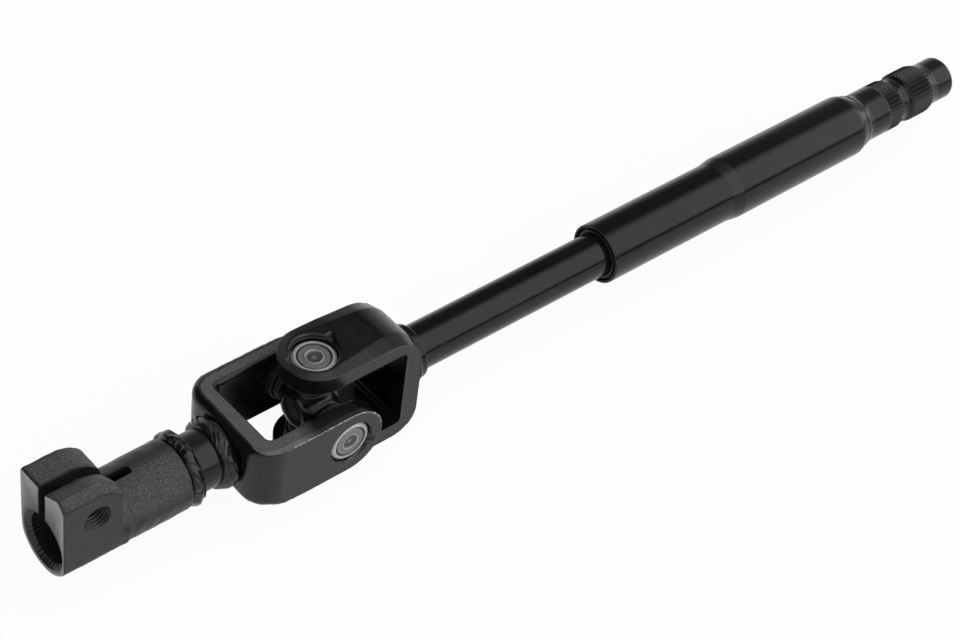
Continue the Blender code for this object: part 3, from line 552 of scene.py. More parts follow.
def bush_piece():
    line = rounded([
        (TUBE_MOUTH + 0.2, 8.3, 0), (TUBE_MOUTH + 0.2, 9.2, 0.35), (TUBE_MOUTH + 2.0, 9.2, 0),
        (TUBE_MOUTH + 2.0, 9.7, 0), (TUBE_MOUTH + 8.7, 9.7, 0), (TUBE_MOUTH + 8.7, 8.3, 0)], 6)
    shape = revolve(spaced(line, 0.6), 128, closed=True)
    piece = new_object("mouth_bush_ring", *shape, "column_tube", bush_paint)
    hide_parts("tube_mouth_bush")


def stub_shaft_piece():
    line = rounded([
        (-62.9, 0, 0), (-62.9, 8.9, 0.5), (-53.9, 8.9, 0), (-53.8, 10.0, 0), (-36.8, 10.0, 0),
        (-36.7, 6.4, 0), (-29.8, 6.4, 0.5), (-29.8, 0, 0)], 4)
    skin = lambda x, angle, r: 0.02 * ripple(x * 0.3, 4 * np.cos(angle), 4 * np.sin(angle), seed=3)
    shape = revolve(spaced(line, 0.8), 128, shift=skin)
    piece = new_object("stub_shaft_skin", *shape, "lower_end", gloss_paint)
    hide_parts("stub_shaft")


def weld_piece(name, node, start, end, crown, seed, laps, lean):
    """Weld bead: a half-round ring of overlapping scales.  Each scale rises along the run of the
    torch and drops at its end, its edge leans and bows across the bead, and slow swells change
    the bead's height and the line of its toes."""
    u = np.linspace(0, PI, 40)
    middle, half = (start + end) / 2, (end - start) / 2
    bead = np.stack([middle - half * np.cos(u), 9.85 + 0 * u], 1)
    line = np.vstack([[(start, 9.6)], bead, [(end, 9.6)]])
    across = np.concatenate([[0], np.sin(u), [0]])[:, None]
    skew = np.concatenate([[0], np.cos(u), [0]])[:, None]

    def swell(x, angle, r):
        c, s = np.cos(angle), np.sin(angle)
        run = laps * angle / (2 * PI) + 1.1 * ripple(2.4 * c, 2.4 * s, seed=seed + 1)
        run = run + lean * skew + 0.35 * across + 0.3 * ripple(2.5 * skew, 6 * c, 6 * s, seed=seed + 4)
        scale = (run % 1.0)
        scale = scale ** 1.4 * unit((1 - scale) / 0.14)
        rise = (crown - 9.85) * across ** 0.7
        slow = 1 + 0.14 * ripple(2.3 * c, 2.3 * s, 0.6 * skew, seed=seed)
        fine = 0.05 * ripple(x * 1.6, 13 * c, 13 * s, seed=seed + 2)
        blobs = 0.34 * ripple(1.8 * skew, 7.5 * c, 7.5 * s, seed=seed + 6, waves=16)
        deep = 0.42 + 0.36 * ripple(1.5 * skew, 4 * c, 4 * s, seed=seed + 7)
        lumps = (blobs - deep * (0.75 - scale)) * across ** 0.6
        return np.clip(rise * slow, 0, crown - 9.4) + lumps + fine * across

    sides = 420
    points, faces = revolve(line, sides, shift=swell, closed=True)
    drift = 0.4 * ripple(*(points[:, 1:].T * 0.32), seed=seed + 5)
    points[:, 0] += drift * np.tile(across, (1, sides)).ravel()
    piece = new_object(name, points, faces, "lower_end", weld_paint, 60)
    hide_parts(node)


# Strap yokes


class Strap:
    """Sizes of one bent strap, in mm.  arms holds the span, thickness, outer bend and reach of
    the arm on the plus side and then of the other.  side is +1 where the base stands at +X."""

    def __init__(self, **sizes):
        self.__dict__.update(sizes)


def strap_lines(s, arm_steps, bend_steps, base_steps):
    """Outer and inner lines of the bent strap in (x, out), from one ear tip to the other: a
    straight arm, an arc and half of the base, then the same for the other arm, reversed."""
    def half(span, base, bend, reach):
        corner = base - bend
        k = np.linspace(0, 1, arm_steps)
        ear = -reach + (reach + 2.0) * (1 - np.cos(k * PI / 2))
        x = np.concatenate([ear, np.linspace(ear[-1], corner, arm_steps)[1:]])
        out = np.full_like(x, span)
        a = np.linspace(PI / 2, 0, bend_steps)[1:]
        x = np.concatenate([x, corner + bend * np.cos(a)])
        out = np.concatenate([out, span - bend + bend * np.sin(a)])
        rest = np.linspace(span - bend, 0, base_steps)[1:]
        return np.concatenate([x, np.full_like(rest, base)]), np.concatenate([out, rest])

    outer, inner = [], []
    for sign, (span, thickness, bend, reach) in zip((1, -1), s.arms):
        keep = slice(None) if sign > 0 else slice(-2, None, -1)
        x, out = half(span, s.base, bend, reach)
        outer.append(np.stack([x, sign * out], 1)[keep])
        x, out = half(span - thickness, s.base - s.base_thickness, s.inner_bend, reach)
        inner.append(np.stack([x, sign * out], 1)[keep])
    return np.vstack(outer), np.vstack(inner)


def round_edge(distance, radius):
    """How far a quarter-round of the radius lies below the face, at a distance from its edge."""
    radius = np.maximum(radius, 0.02)
    return radius - np.sqrt(radius ** 2 - np.clip(radius - distance, 0, None) ** 2)


def strap_piece(name, node, s, body, ear_turn, material):
    """Bent strap: a section carried along the bent path.  Its half-width follows the plan
    outline, a straight flank that ends in a round ear, and each edge falls away as a function
    of the distance to that outline."""
    outer, inner = strap_lines(s, 44, 30, 14)
    count = len(outer)
    shift = s.radius - np.where(outer[:, 1] > 0, s.arms[0][3], s.arms[1][3])
    beyond = unit(-(outer[:, 0] - shift) / s.radius)
    half = s.radius * np.sqrt(unit(1 - beyond ** 2))
    inset = np.array([
        0, 0.05, 0.14, 0.28, 0.45, 0.7, 1.0, 1.4, 1.9, 2.5, 3.1, 3.7, 4.3, 4.9, 5.5, 6.1, 7.2, 8.6, 10.2,
        s.radius])
    v = np.concatenate([-(1 - inset / s.radius), (1 - inset[:-1] / s.radius)[::-1]])
    wall = np.linspace(0, 1, 22)[1:-1]
    across = np.concatenate([v, np.ones(len(wall)), v[::-1], -np.ones(len(wall))])[None, :]
    face = np.concatenate([np.zeros(len(v)), wall, np.ones(len(v)), wall[::-1]])[None, :]
    width = across * half[:, None]
    along = outer[:, 0][:, None] + 0 * width
    tip = np.clip(-(along - shift[:, None]), 0, None)
    inside = np.clip(s.radius - np.sqrt(tip ** 2 + width ** 2), 0, None)
    lean = outer[:, 1][:, None] / max(arm[0] for arm in s.arms) + 0 * width
    upper = 0.5 + 0.5 * width / np.maximum(np.sqrt(tip ** 2 + width ** 2), 0.01)
    run = np.cumsum(np.concatenate([[0], np.linalg.norm(np.diff(outer, axis=0), axis=1)]))[:, None]
    ragged = s.ragged * ripple(run * 1.8 + 0 * width, width * 0.2, seed=s.seed, waves=12)
    outer_fall = s.outer_fall(inside, along, lean, upper)
    outer_fall = outer_fall + ragged * np.minimum(outer_fall, 0.35)
    inner_fall = s.inner_fall(inside, along, lean, upper)
    step = inner - outer
    thickness = np.linalg.norm(step, axis=1)[:, None]
    across_base = np.abs(step[:, 1]) < np.abs(step[:, 0])
    flat = np.where(across_base, s.base_thickness, 7.0)[:, None]
    depth = outer_fall / flat
    depth = depth + (1 - inner_fall / flat - depth) * face
    below = depth * thickness
    drop = s.wall_drop(below, thickness, lean, upper) * (np.abs(across) == 1)
    wide = width * (1 - drop / s.radius)
    x = outer[:, 0][:, None] + step[:, 0][:, None] * depth
    out = outer[:, 1][:, None] + step[:, 1][:, None] * depth
    skin = 0.03 * ripple(run * 0.25 + 0 * width, width * 0.3, seed=s.seed + 9)
    out = out + skin * (face == 0) * np.sign(out)
    points = np.stack([s.side * x, out if ear_turn == "Y" else wide, wide if ear_turn == "Y" else out], -1)
    wall_here = (np.abs(across) == 1) + 0 * width
    marks = s.marks(inside, below, along, wall_here, lean, upper)
    marks = {label: (values + 0 * width).ravel() for label, values in marks.items()}
    faces = grid_faces(count, across.shape[1], wrap_columns=True)
    piece = new_object(name, points.reshape(-1, 3), faces, body, material, 40, marks)
    carve(piece, *strap_cutters(s, ear_turn, material))
    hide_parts(node)
    return piece


def strap_cutters(s, ear_turn, material):
    """Ear bore with its stepped mouth and the punch dents of the stakes, and the hole in the
    base.  A stake adds to the bore's radius in a narrow wedge of angle."""
    deepest = s.mouth[-1][0]
    plus = [(s.arms[0][0] - drop, r) for drop, r in s.mouth]
    minus = [(drop - s.arms[1][0], r) for drop, r in s.mouth]
    line = np.array([(minus[0][0], 0)] + minus + plus[::-1] + [(plus[0][0], 0)])
    line = np.vstack([spaced(line[:len(minus) + 1], 0.25), spaced(line[len(minus) + 1:], 0.25)])
    face_at = np.array([s.arms[1][0], s.arms[0][0]])

    def stake(x, angle, r):
        level = unit((np.abs(x) - np.where(x < 0, face_at[0], face_at[1]) + deepest) / deepest)
        torn = ripple(9 * np.cos(angle), 9 * np.sin(angle), 2 * x, seed=s.seed + 3)
        total = 0.0
        for at, width, deep in s.stakes:
            gap = np.abs((angle - math.radians(at) + PI) % (2 * PI) - PI)
            wedge = unit(1 - (gap / math.radians(width)) ** 2)
            total = np.maximum(total, deep * wedge * (1 + 0.55 * torn))
        return (total + 0.05 * torn) * level ** 0.6

    turn = ALONG_Y if ear_turn == "Y" else ALONG_Z
    sides = 180
    angle = np.linspace(0, 2 * PI, sides, endpoint=False)[None, :]
    points, faces = revolve(line, sides, turn, stake)
    torn_edge = unit(stake(line[:, :1] + 0 * angle, angle, 0) * 2.0)
    marks = {"bright": torn_edge, "sheared": 0 * torn_edge}
    bores = new_object("ear_bore_cutter", points, faces, None, material, marks=marks)
    ends = sorted((s.side * (s.base + 3), s.side * (s.base - s.base_thickness - 3)))
    hole = np.array([(ends[0], 0), (ends[0], 6.8), (ends[1], 6.8), (ends[1], 0)], float)
    points, faces = revolve(hole, 64)
    return bores, new_object("base_hole_cutter", points, faces, None, material)


def lower_outer_fall(inside, along, lean, upper):
    """Top edge: nearly sharp on the near arm, rolled over on the base and the far arm.  The
    bottom edge is rolled only on the base."""
    top = np.interp(lean, [-1, -0.93, -0.6, 0.4, 1], [0.25, 0.3, 2.6, 3.2, 2.8])
    low = np.interp(along, [18, 26, 31], [0.35, 1.2, 3.6])
    return round_edge(inside, low + (top - low) * upper)


def lower_inner_fall(inside, along, lean, upper):
    top = np.interp(lean, [-1, -0.8, 0.5, 1], [0.4, 0.6, 0.8, 1.9])
    return round_edge(inside, 0.5 + (top - 0.5) * upper)


def lower_wall_drop(below, thickness, lean, upper):
    """The sheared top sinks a little over the two millimetres next to the outer face."""
    near = unit(-lean * 1.5 + 0.2)
    return 0.12 + (0.5 * near * unit(1 - below / 2.1) - 0.12) * upper


def lower_marks(inside, below, along, wall, lean, upper):
    """sheared: torn metal of the blanked edge; band: its smoother outer strip on the near arm, painted
    lighter as a highlight; bright: the bare burr along the outer corner of the near arm, painted light
    as a highlight line.  On the near arm band and sheared fade out towards the ear as painted shade under
    the upper yoke."""
    near = unit(-lean * 2.0 + 1.0)
    # Painted shade: on the near arm the strip and the torn edge fade out towards the ear, under the upper
    # yoke.
    ear_shade_fade = unit((along - 13) / 8)
    band = unit((2.15 - below) / 0.2) * wall * near * ear_shade_fade
    start = np.where(near > 0.5, 2.1, 1.9)
    sheared = wall * unit((below - start) / 0.25) * (1 - near + near * ear_shade_fade)
    # Painted highlight: a light line on the near arm's outer top corner only, on the ear side.
    burr_highlight = unit(-lean * 8 - 6.4) * (upper > 0.6) * np.exp(-inside / 0.2) * (below < 0.45)
    burr_highlight = burr_highlight * unit((27 - along) / 5)
    return {"sheared": sheared, "band": band, "bright": burr_highlight}


def upper_outer_fall(inside, along, lean, upper):
    """Rolled edge: a flat bevel that starts at a crease, narrow round the ear and wider towards
    the bend, then a tight round."""
    across = np.interp(along, [-12, -2, 10, 20, 32], [2.6, 3.0, 4.4, 5.6, 5.6])
    deep = np.interp(along, [-12, 0, 12], [0.7, 1.1, 1.6]) * (1.0 - 0.2 * upper)
    deep = deep * (1 + 0.9 * upper * unit((along - 10) / 14))
    return deep * unit(1 - inside / across) + round_edge(inside, 0.3 + 0 * inside)


def upper_inner_fall(inside, along, lean, upper):
    return round_edge(inside, 0.35 + 0 * inside)


def upper_wall_drop(below, thickness, lean, upper):
    return 0.12 + 0 * below


def upper_marks(inside, below, along, wall, lean, upper):
    return dict.fromkeys(("sheared", "band", "bright"), 0.0 * wall)


lower_strap = Strap(
    arms=((21.3, 7.5, 9.6, 12.4), (LOWER_SPAN, 6.4, 9.6, 12.4)), base=-LOWER_BASE, base_thickness=7.7,
    inner_bend=2.4, radius=12.6,
    side=-1, outer_fall=lower_outer_fall, inner_fall=lower_inner_fall, wall_drop=lower_wall_drop,
    marks=lower_marks, ragged=0.2, seed=21, mouth=[(-3, 8.35), (0.1, 8.35), (0.5, 8.0), (1.3, EAR_HOLE)],
    stakes=[(156, 15, 1.3), (19, 15, 1.3)])
upper_strap = Strap(
    arms=((UPPER_SPAN, 7.3, 16.8, 12.0), (UPPER_SPAN, 7.3, 11.6, 11.0)), base=UPPER_BASE, base_thickness=8.4,
    inner_bend=2.0, radius=12.45,
    side=1, outer_fall=upper_outer_fall, inner_fall=upper_inner_fall, wall_drop=upper_wall_drop,
    marks=upper_marks, ragged=0.04, seed=31,
    mouth=[(-3, 8.8), (0.1, 8.75), (0.7, 8.35), (0.85, 8.15), (1.5, 8.05), (1.8, EAR_HOLE)],
    stakes=[(284, 17, 1.5), (78, 15, 1.4)])


# Bearings and cross


def bearing_body(side):
    """The near and far bearings sit in the lower yoke, the other two in the upper one."""
    return "lower_end" if side in ("near", "far") else "sliding_shaft"


def cup_piece(side):
    """Needle cup: rounded outer corner, broad ring, groove, flat, and a dimple with a rim.  The
    shade mark is a table of brightness against radius: painted shade in the groove and the dimple,
    painted highlights on the broad ring and the rim."""
    f = CAP_FACE
    face = rounded([
        (f - 0.62, 0, 0), (f - 0.72, 1.2, 0.6), (f - 0.55, 2.3, 0.4), (f - 0.10, 2.85, 0.2),
        (f - 0.06, 3.2, 0.2), (f - 0.26, 3.5, 0.15), (f - 0.24, 5.1, 0.2), (f - 0.6, 5.45, 0.15),
        (f - 0.6, 5.65, 0.15), (f - 0.06, 5.95, 0.25), (f, 6.5, 0.6), (f - 0.75, CAP_RADIUS, 0.8),
        (f - 2.0, CAP_RADIUS, 0)], 5)
    shell = np.array([
        (f - 2.0, CAP_RADIUS), (f - 9.6, CAP_RADIUS), (f - 9.8, 7.3), (f - 9.8, 6.4), (f - 1.6, 6.4),
        (f - 1.6, 0)])
    line = np.vstack([spaced(face, 0.12), spaced(shell, 0.6)])
    shift = lambda x, angle, r: 0.010 * ripple(r * 1.5, 2 * np.cos(angle), 2 * np.sin(angle), seed=7)
    sides = 132
    points, faces = revolve(line, sides, SIDES[side], shift)
    # Painted light: dark groove near 5.5 mm and dark dimple, bright rim near 3 mm and bright broad ring.
    rings = [
        (0, 0.20), (0.5, 0.15), (1.2, 0.06), (2.2, 0.06), (2.6, 0.12), (2.8, 0.31), (3.1, 0.31),
        (3.4, 0.15), (5.0, 0.19), (5.3, 0.13), (5.5, 0.02), (5.75, 0.05), (6.1, 0.42), (7.2, 0.46),
        (7.45, 0.26), (CAP_RADIUS, 0.04)]
    shade = np.interp(line[:, 1], *zip(*rings))
    # Painted shade: the cup's side below the face, down in the ear's bore, is kept dark.
    shade = np.where(line[:, 0] < f - 1.5, 0.03, shade)
    marks = {"shade": np.repeat(shade, sides)}
    piece = new_object("bearing_cup_" + side, points, faces, bearing_body(side), cup_steel, 30, marks)
    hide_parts("bearing_cap_" + side)


def seal_piece(side):
    line = rounded([
        (8.9, 4.85, 0), (8.9, 5.9, 0.3), (9.3, 6.5, 0.3), (9.9, 6.6, 0.2), (10.1, 6.35, 0.1),
        (10.3, 6.75, 0.2), (11.1, 6.7, 0.3), (11.15, 4.85, 0)], 5)
    shape = revolve(spaced(line, 0.4), 96, SIDES[side], closed=True)
    piece = new_object("trunnion_seal_ring_" + side, *shape, bearing_body(side), seal_black)
    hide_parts("trunnion_seal_" + side)


def cross_piece():
    """Forged cross: a hollow hub along X and two bars of turned trunnions, joined, remeshed and
    smoothed so that they flow into each other."""
    hub = rounded([(-7.6, 0, 0), (-7.6, 6.5, 0.5), (7.6, 6.5, 0.5), (7.6, 0, 0)], 5)
    shape = revolve(spaced(hub, 0.5), 96)
    piece = new_object("joint_cross_forging", *shape, "cross", cross_paint)
    arm = [
        (1.0, 7.0), (5.6, 7.35), (8.4, 5.9), (8.45, 4.4), (11.3, 4.4), (11.6, 4.2), (17.6, 4.2),
        (18.2, 3.6), (18.2, 0)]
    line = rounded([(-x, r, 0) for x, r in arm[::-1]] + [(x, r, 0) for x, r in arm], 3)
    others = []
    for turn in (ALONG_Y, ALONG_Z):
        points, faces = revolve(spaced(line, 0.6), 96, turn)
        others.append(new_object("trunnion_bar", points, faces, None, cross_paint))
    carve(piece, *others, operation="UNION")
    step = piece.modifiers.new("remesh", "REMESH")
    step.mode = "VOXEL"
    step.voxel_size = 0.0003
    step = piece.modifiers.new("flow", "SMOOTH")
    step.factor = 0.6
    step.iterations = 14
    settle(piece, 60)
    bores = []
    for start, end in ((-9.6, -1.2), (1.2, 9.6)):
        inner, outer = (start, end) if start < 0 else (end, start)
        bend = 7.2 * np.sign(start + end)
        line = rounded([(outer, 0, 0), (outer, 5.3, 0.6), (bend, 5.3, 0), (inner, 6.0, 0), (inner, 0, 0)], 5)
        points, faces = revolve(spaced(line, 0.3), 96)
        bores.append(new_object("hub_bore", points, faces, None, hub_metal))
    carve(piece, *bores)
    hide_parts("joint_cross")


# Clamp coupler


def smooth_least(values, width):
    """Smooth minimum of a stack of arrays: minus the log of the sum of exponentials."""
    stack = np.stack(values)
    least = stack.min(0)
    return least - width * np.log(np.exp(-(stack - least) / width).sum(0))


def smooth_most(a, b, width):
    return -smooth_least([-a, -b], width)


def coupler_radius(x, angle):
    """Distance from the axis to the forging's skin.  In each direction it is the least of the
    distances to the flanks, the belly and the ear tops, blended into the round neck behind.
    The ear tops fall away behind the bolt, so the same rule makes their rounded backs."""
    y, z = np.cos(angle), np.sin(angle)
    tiny = 1e-3
    fall = 11.5 * (1 - np.sqrt(1 - np.clip((x + 91.0) / 12.6, 0, 0.93) ** 2))
    fall = fall + np.clip(x + 80.4, 0, None) * 2.6
    top = 21.9 - fall
    far_top = top / np.clip(z, tiny, None)
    crest = (20.95 - fall) / np.clip(z + 0.50 * y, tiny, None)
    bevel = (32.3 - fall) / np.clip(z - 0.95 * y, tiny, None)
    far_flank = FAR_FLANK / np.clip(y, tiny, None)
    near_flank = NEAR_FLANK / np.clip(-y, tiny, None)
    belly = np.where(z < 0, 12.4, 60.0) + 0 * x
    far_shape = smooth_least([np.clip(v, 0, 60) for v in (far_top, far_flank, belly)], 0.45)
    near_shape = smooth_least([np.clip(v, 0, 60) for v in (crest, bevel, near_flank, belly)], 0.2)
    clamp = np.where(y > 0.5 / 24, far_shape, near_shape) - 4.0 * unit((x + 78.4) / 4.0)
    neck = np.interp(x, [-83.5, -81, -78.6, -60], [8.0, 10.6, 12.0, 12.15]) + 0 * angle
    return smooth_most(clamp, neck, 0.3)


def coupler_piece():
    """The forging as a radius round the axis: clamp, neck and rounded back, with a slow swell
    and a fine ripple on the forged skin."""
    front, back = COUPLER_FRONT, COUPLER_BACK
    x = np.concatenate([
        [front], front + np.array([0.12, 0.3, 0.5, 0.8]), np.linspace(front + 1.2, -72, 120),
        np.linspace(-71.5, back - 1.6, 34), back - np.array([1.3, 1.0, 0.7, 0.4, 0.2, 0.08, 0])])[:, None]
    dense = np.linspace(0, 2 * PI, 560, endpoint=False)
    angle = (dense - 0.22 * np.sin(2 * (dense - PI / 2)))[None, :]
    r = coupler_radius(x + 0 * angle, angle + 0 * x)
    r = np.where(x < front + 0.5, r - 0.25 * (1 - (x - front) / 0.5), r)
    rim = 1.4
    r = r - np.where(x > back - rim, rim - np.sqrt(np.clip(rim ** 2 - (x - back + rim) ** 2, 0, None)), 0)
    y, z = r * np.cos(angle), r * np.sin(angle)
    forged = unit((x - front) / 1.5)
    flank = (np.abs(y + NEAR_FLANK) < 0.3) & (x < -80.5)
    swell = 0.05 * ripple(x * 0.9, y * 0.9, z * 0.9, seed=41, waves=14)
    swell = swell + 0.09 * ripple(x * 0.2, y * 0.2, z * 0.2, seed=42)
    r = r + forged * np.where(flank, 0.1, 1.0) * swell
    y, z = r * np.cos(angle), r * np.sin(angle)
    points = np.stack([x + 0 * angle, y, z], -1)
    rows = np.vstack([[[[front, 0, 0]] * points.shape[1]], points, [[[back, 0, 0]] * points.shape[1]]])
    patchy = 0.5 + 0.5 * ripple(x * 0.5, y * 0.4, z * 0.4, seed=43)
    upward = unit((z - 0.35 * y - 5.5) / 4.0)
    border = unit((FAR_FLANK - y - 0.5) / 0.7) * unit((np.abs(y - 0.5) - 2.5) / 0.6)
    border = border * unit((x - front - 0.8) / 0.6)
    upward = upward * np.where(x < -78.5, border, unit((2 - y) / 4))
    scaled = unit(upward * (0.8 + 0.3 * patchy) + 0.12 * patchy)
    grain = np.where(flank, 0.10, scaled) * (x > front + 0.1)
    cut = (x < front + 0.05) + 0 * angle
    marks = {
        "grain": np.vstack([grain[:1] * 0, grain, grain[-1:]]),
        "cut": np.vstack([cut[:1] * 0 + 1, cut, cut[:1] * 0])}
    faces = grid_faces(rows.shape[0], rows.shape[1], wrap_columns=True)
    marks = {label: values.ravel() for label, values in marks.items()}
    points = rows.reshape(-1, 3)
    piece = new_object("clamp_coupler_forging", points, faces, "lower_end", forge_paint, 38, marks)
    carve(piece, slit_cutter(), clearance_cutter(), thread_cutter(), bore_cutter())
    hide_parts("clamp_coupler")


def bore_cutter():
    """Toothed bore with a wide lead-in cone: the plain radius less a triangle wave."""
    f = COUPLER_FRONT
    line = np.array([
        (f - 2, 0), (f - 2, 11.8), (f + 1.7, 9.2), (f + 1.9, 9.6), (f + 27, 9.6), (f + 27.6, 9.7),
        (-52.5, 9.7), (-52.5, 0)], float)
    line = spaced(line, 1.0)
    teeth = lambda x, angle, r: serration(x, angle, f + 0.9, f + 27.2, 0.85, TEETH, 1.2)
    shape = revolve(line, TEETH * 8, shift=teeth)
    return new_object("bore_cutter", *shape, None, recess_paint)


def slit_cutter():
    """Saw slit: a flat slot whose far end is square with round corners in plan."""
    low, high, half, centre = 0.5, 32.0, 1.75, 0.5
    end = COUPLER_FRONT + 31.9 - half
    a = np.linspace(-PI / 2, PI / 2, 14)
    corner = np.stack([end + half * np.cos(a) ** 0.5, half * np.sin(a)], 1)
    outline = np.vstack([[(COUPLER_FRONT - 3, -half)], corner, [(COUPLER_FRONT - 3, half)]])
    outline = outline + np.array([0, centre])
    count = len(outline)
    points = np.vstack([np.column_stack([outline, np.full(count, z)]) for z in (low, high)])
    ring = np.arange(count)
    faces = [(int(k), int((k + 1) % count), int(count + (k + 1) % count), int(count + k)) for k in ring]
    faces += [tuple(int(k) for k in ring), tuple(int(k) for k in ring[::-1] + count)]
    return new_object("slit_cutter", points, faces, None, recess_paint)


def thread_cutter():
    """Threaded hole: the radius is a triangle wave of the height less the turn of the helix."""
    pitch, crest = 1.25, 4.95
    h = np.concatenate([[0.0], np.linspace(0.01, 10.2, 150), [10.6, 11.1, 14.0]])[:, None]
    angle = np.linspace(0, 2 * PI, 64, endpoint=False)[None, :]
    wave = np.abs(((h / pitch - angle / (2 * PI)) % 1.0) * 2 - 1)
    r = crest - 0.72 * wave
    r = np.where(h > 10.3, 4.55 + (h - 10.6) * 1.0, r)
    r = np.where(h > 11.3, 5.05, r)
    r = np.where(h <= 0.0, 0.0, r)
    points = np.stack([h + 0 * angle, r * np.cos(angle), r * np.sin(angle)], -1)
    cap = np.zeros_like(points[:1]) + np.array([14.0, 0, 0])
    rows = np.vstack([points, cap])
    faces = grid_faces(rows.shape[0], rows.shape[1], wrap_columns=True)
    points = rows.reshape(-1, 3) @ ALONG_NEAR.T + np.array([BOLT_X, 0, BOLT_Z])
    return new_object("thread_cutter", points, faces, None, recess_paint)


def clearance_cutter():
    line = rounded([(0, 0, 0), (0, 5.3, 0), (11.4, 5.3, 0), (12.4, 6.2, 0), (16, 6.2, 0), (16, 0, 0)], 2)
    points, faces = revolve(line, 64, ALONG_Y)
    return new_object("clearance_cutter", points + np.array([BOLT_X, 0, BOLT_Z]), faces, None, recess_paint)


def dress_hidden_nodes():
    """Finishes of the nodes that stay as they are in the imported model."""
    nylon, nodes, links, body, where = shader("natural_nylon")
    drift = noise(nodes, links, where, 500.0, 3.0)
    tone = ramp(nodes, links, drift, [(0.3, (0.62, 0.60, 0.54)), (0.7, (0.72, 0.70, 0.64))])
    skin = bump(nodes, links, noise(nodes, links, where, 2500.0), 0.1, 0.00005)
    connect(links, body, tone, 0.5, skin)
    for name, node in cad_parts.items():
        finish = None
        if name.startswith("needle_rollers"):
            finish = roller_steel
        if name.startswith(("thrust_pad", "slip_sleeve")):
            finish = nylon
        if finish is not None:
            node.data.materials.clear()
            node.data.materials.append(finish)


# Camera, floor and light

CAMERA_RIGHT = np.array([0.75868844, -0.64261799, 0.10692973])
CAMERA_UP = np.array([0.39472944, 0.58404788, 0.70927903])
CAMERA_BACK = np.array([-0.51824754, -0.49591349, 0.69677062])
CAMERA_PIXELS = 2585.9
CAMERA_DISTANCE = 872.99
AXIS_OFFSET = 5.438
CROSS_PLACE = -71.283
AXIS_LEAN = 27.487
PHOTO_WIDTH = 960
SENSOR_WIDTH = 36.0

# Share of pure white that the floor shows to the camera and in reflections
FLOOR_SEEN = 0.94
FLOOR_MIRRORED = 0.45


def add_camera():
    """The camera fitted to the photo: a focal length in pixels, three directions and the
    distance to the foot of the shaft's axis."""
    lean = math.radians(AXIS_LEAN)
    offset = AXIS_OFFSET * CAMERA_DISTANCE / CAMERA_PIXELS
    foot = np.array([-math.sin(lean) * offset, math.cos(lean) * offset, -CAMERA_DISTANCE])
    axis = np.array([CAMERA_RIGHT[0], CAMERA_UP[0], CAMERA_BACK[0]])
    cross = foot + CROSS_PLACE * axis
    eye = -(CAMERA_RIGHT * cross[0] + CAMERA_UP * cross[1] + CAMERA_BACK * cross[2])
    data = bpy.data.cameras.new("photo_camera")
    data.sensor_width = SENSOR_WIDTH
    data.lens = CAMERA_PIXELS / PHOTO_WIDTH * SENSOR_WIDTH
    data.clip_start = 0.01
    data.clip_end = 50
    camera = bpy.data.objects.new("photo_camera", data)
    turn = Matrix([[CAMERA_RIGHT[i], CAMERA_UP[i], CAMERA_BACK[i]] for i in range(3)])
    camera.matrix_world = Matrix.Translation(Vector(CENTRE + eye * MM)) @ turn.to_4x4()
    bpy.context.scene.collection.objects.link(camera)
    bpy.context.scene.camera = camera


def add_floor():
    """Pale paper floor: white to the camera and in reflections, with the soft shadow kept."""
    mesh = bpy.data.meshes.new("paper_floor")
    h = 3.0
    level = -0.0004
    mesh.from_pydata([(-h, -h, level), (h, -h, level), (h, h, level), (-h, h, level)], [], [(0, 1, 2, 3)])
    floor = bpy.data.objects.new("paper_floor", mesh)
    bpy.context.scene.collection.objects.link(floor)
    mat, nodes, links, body, _ = shader("white_paper")
    body.inputs["Base Color"].default_value = (0.9, 0.9, 0.9, 1)
    body.inputs["Roughness"].default_value = 0.9
    glow = nodes.new("ShaderNodeEmission")
    glow.inputs["Strength"].default_value = 1.0
    path = nodes.new("ShaderNodeLightPath")
    seen = product(nodes, links, path.outputs["Is Camera Ray"], FLOOR_SEEN)
    mirrored = product(nodes, links, path.outputs["Is Glossy Ray"], FLOOR_MIRRORED)
    through = product(nodes, links, path.outputs["Is Transmission Ray"], FLOOR_SEEN)
    share = arithmetic(nodes, links, "MAXIMUM", seen, mirrored)
    share = arithmetic(nodes, links, "MAXIMUM", share, through)
    mix = nodes.new("ShaderNodeMixShader")
    links.new(share, mix.inputs["Fac"])
    links.new(body.outputs[0], mix.inputs[1])
    links.new(glow.outputs[0], mix.inputs[2])
    links.new(mix.outputs[0], nodes["Material Output"].inputs["Surface"])
    mesh.materials.append(mat)


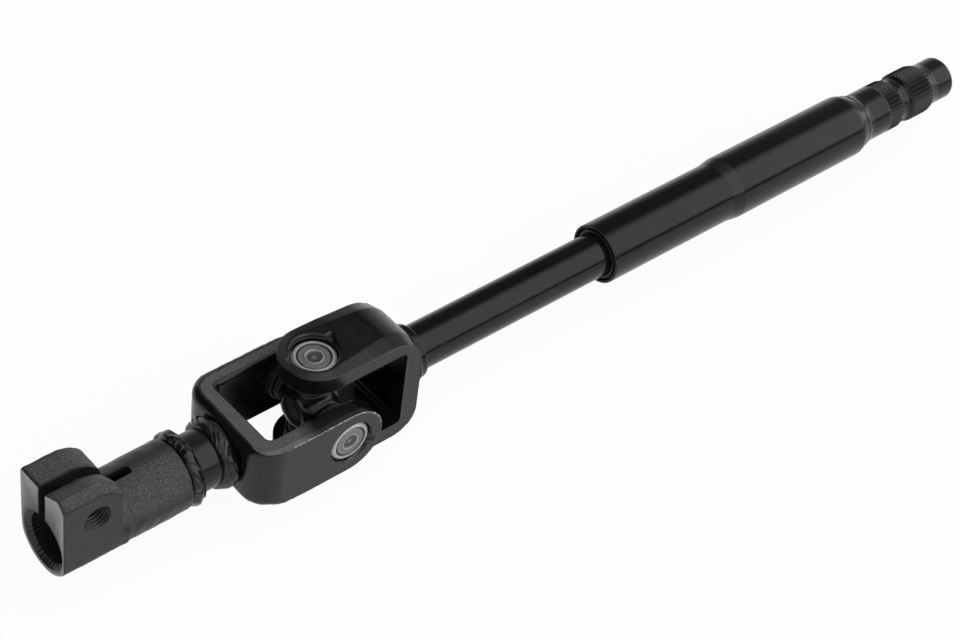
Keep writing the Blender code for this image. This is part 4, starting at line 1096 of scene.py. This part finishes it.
def add_light():
    """Studio, by the angle round the X axis: one broad soft source on the camera's side of the
    shaft, a darker room behind it and a weak glow along the far horizon.  It is dimmer towards
    the coupler's end, and two weak bands across X show where a form leaves the axis."""
    world = bpy.data.worlds.new("soft_studio")
    bpy.context.scene.world = world
    world.use_nodes = True
    nodes, links = world.node_tree.nodes, world.node_tree.links
    back = nodes["Background"]
    where = nodes.new("ShaderNodeTexCoord")
    split = nodes.new("ShaderNodeSeparateXYZ")
    links.new(where.outputs["Generated"], split.inputs[0])
    turn = arithmetic(nodes, links, "ARCTAN2", split.outputs["Z"], split.outputs["Y"])
    scale = nodes.new("ShaderNodeMapRange")
    scale.inputs["From Min"].default_value = -PI
    scale.inputs["From Max"].default_value = PI
    links.new(turn, scale.inputs["Value"])
    angle = lambda degrees: 0.5 + degrees / 360
    stops = [
        (0.0, 0.9), (angle(0), 0.5), (angle(10), 0.3), (angle(28), 0.06), (angle(76), 0.06),
        (angle(97), 1.5), (angle(166), 1.5), (angle(171), 0.02), (1.0, 0.02)]
    wheel = ramp(nodes, links, scale.outputs[0], stops)
    along = nodes.new("ShaderNodeMapRange")
    along.inputs["From Min"].default_value = -1.0
    links.new(split.outputs["X"], along.inputs["Value"])
    ends = ramp(nodes, links, along.outputs[0], [(0.0, 0.55), (0.3, 0.6), (0.55, 1.0), (1.0, 1.0)])
    dimmed = combined(nodes, links, "MULTIPLY", wheel, ends)
    lift = ramp(nodes, links, along.outputs[0], [
        (0.0, 0.0), (0.47, 0.0), (0.55, 0.6), (0.69, 0.6), (0.73, 0.0), (0.80, 0.0), (0.88, 0.45),
        (1.0, 0.45)])
    links.new(combined(nodes, links, "ADD", dimmed, lift), back.inputs["Color"])
    back.inputs["Strength"].default_value = 1.0
    white = nodes.new("ShaderNodeBackground")
    white.inputs["Color"].default_value = (1, 1, 1, 1)
    path = nodes.new("ShaderNodeLightPath")
    mix = nodes.new("ShaderNodeMixShader")
    links.new(path.outputs["Is Camera Ray"], mix.inputs["Fac"])
    links.new(back.outputs[0], mix.inputs[1])
    links.new(white.outputs[0], mix.inputs[2])
    links.new(mix.outputs[0], nodes["World Output"].inputs["Surface"])


tube_piece()
stub_piece()
end_weld_piece()
bar_piece()
collar_piece()
bush_piece()
stub_shaft_piece()
weld_piece("coupler_weld_bead", "coupler_weld", -54.2, -49.2, 12.8, 51, 11, 0.6)
weld_piece("lower_yoke_weld_bead", "lower_yoke_weld", -42.2, -36.4, 12.1, 61, 15, -1.1)
strap_piece("lower_yoke_strap", "lower_yoke", lower_strap, "lower_end", "Y", press_paint)
strap_piece("upper_yoke_strap", "upper_yoke", upper_strap, "sliding_shaft", "Z", press_paint)
for each in SIDES:
    cup_piece(each)
    seal_piece(each)
cross_piece()
coupler_piece()
dress_hidden_nodes()
add_camera()
add_floor()
add_light()
bpy.context.scene.view_settings.view_transform = "Standard"
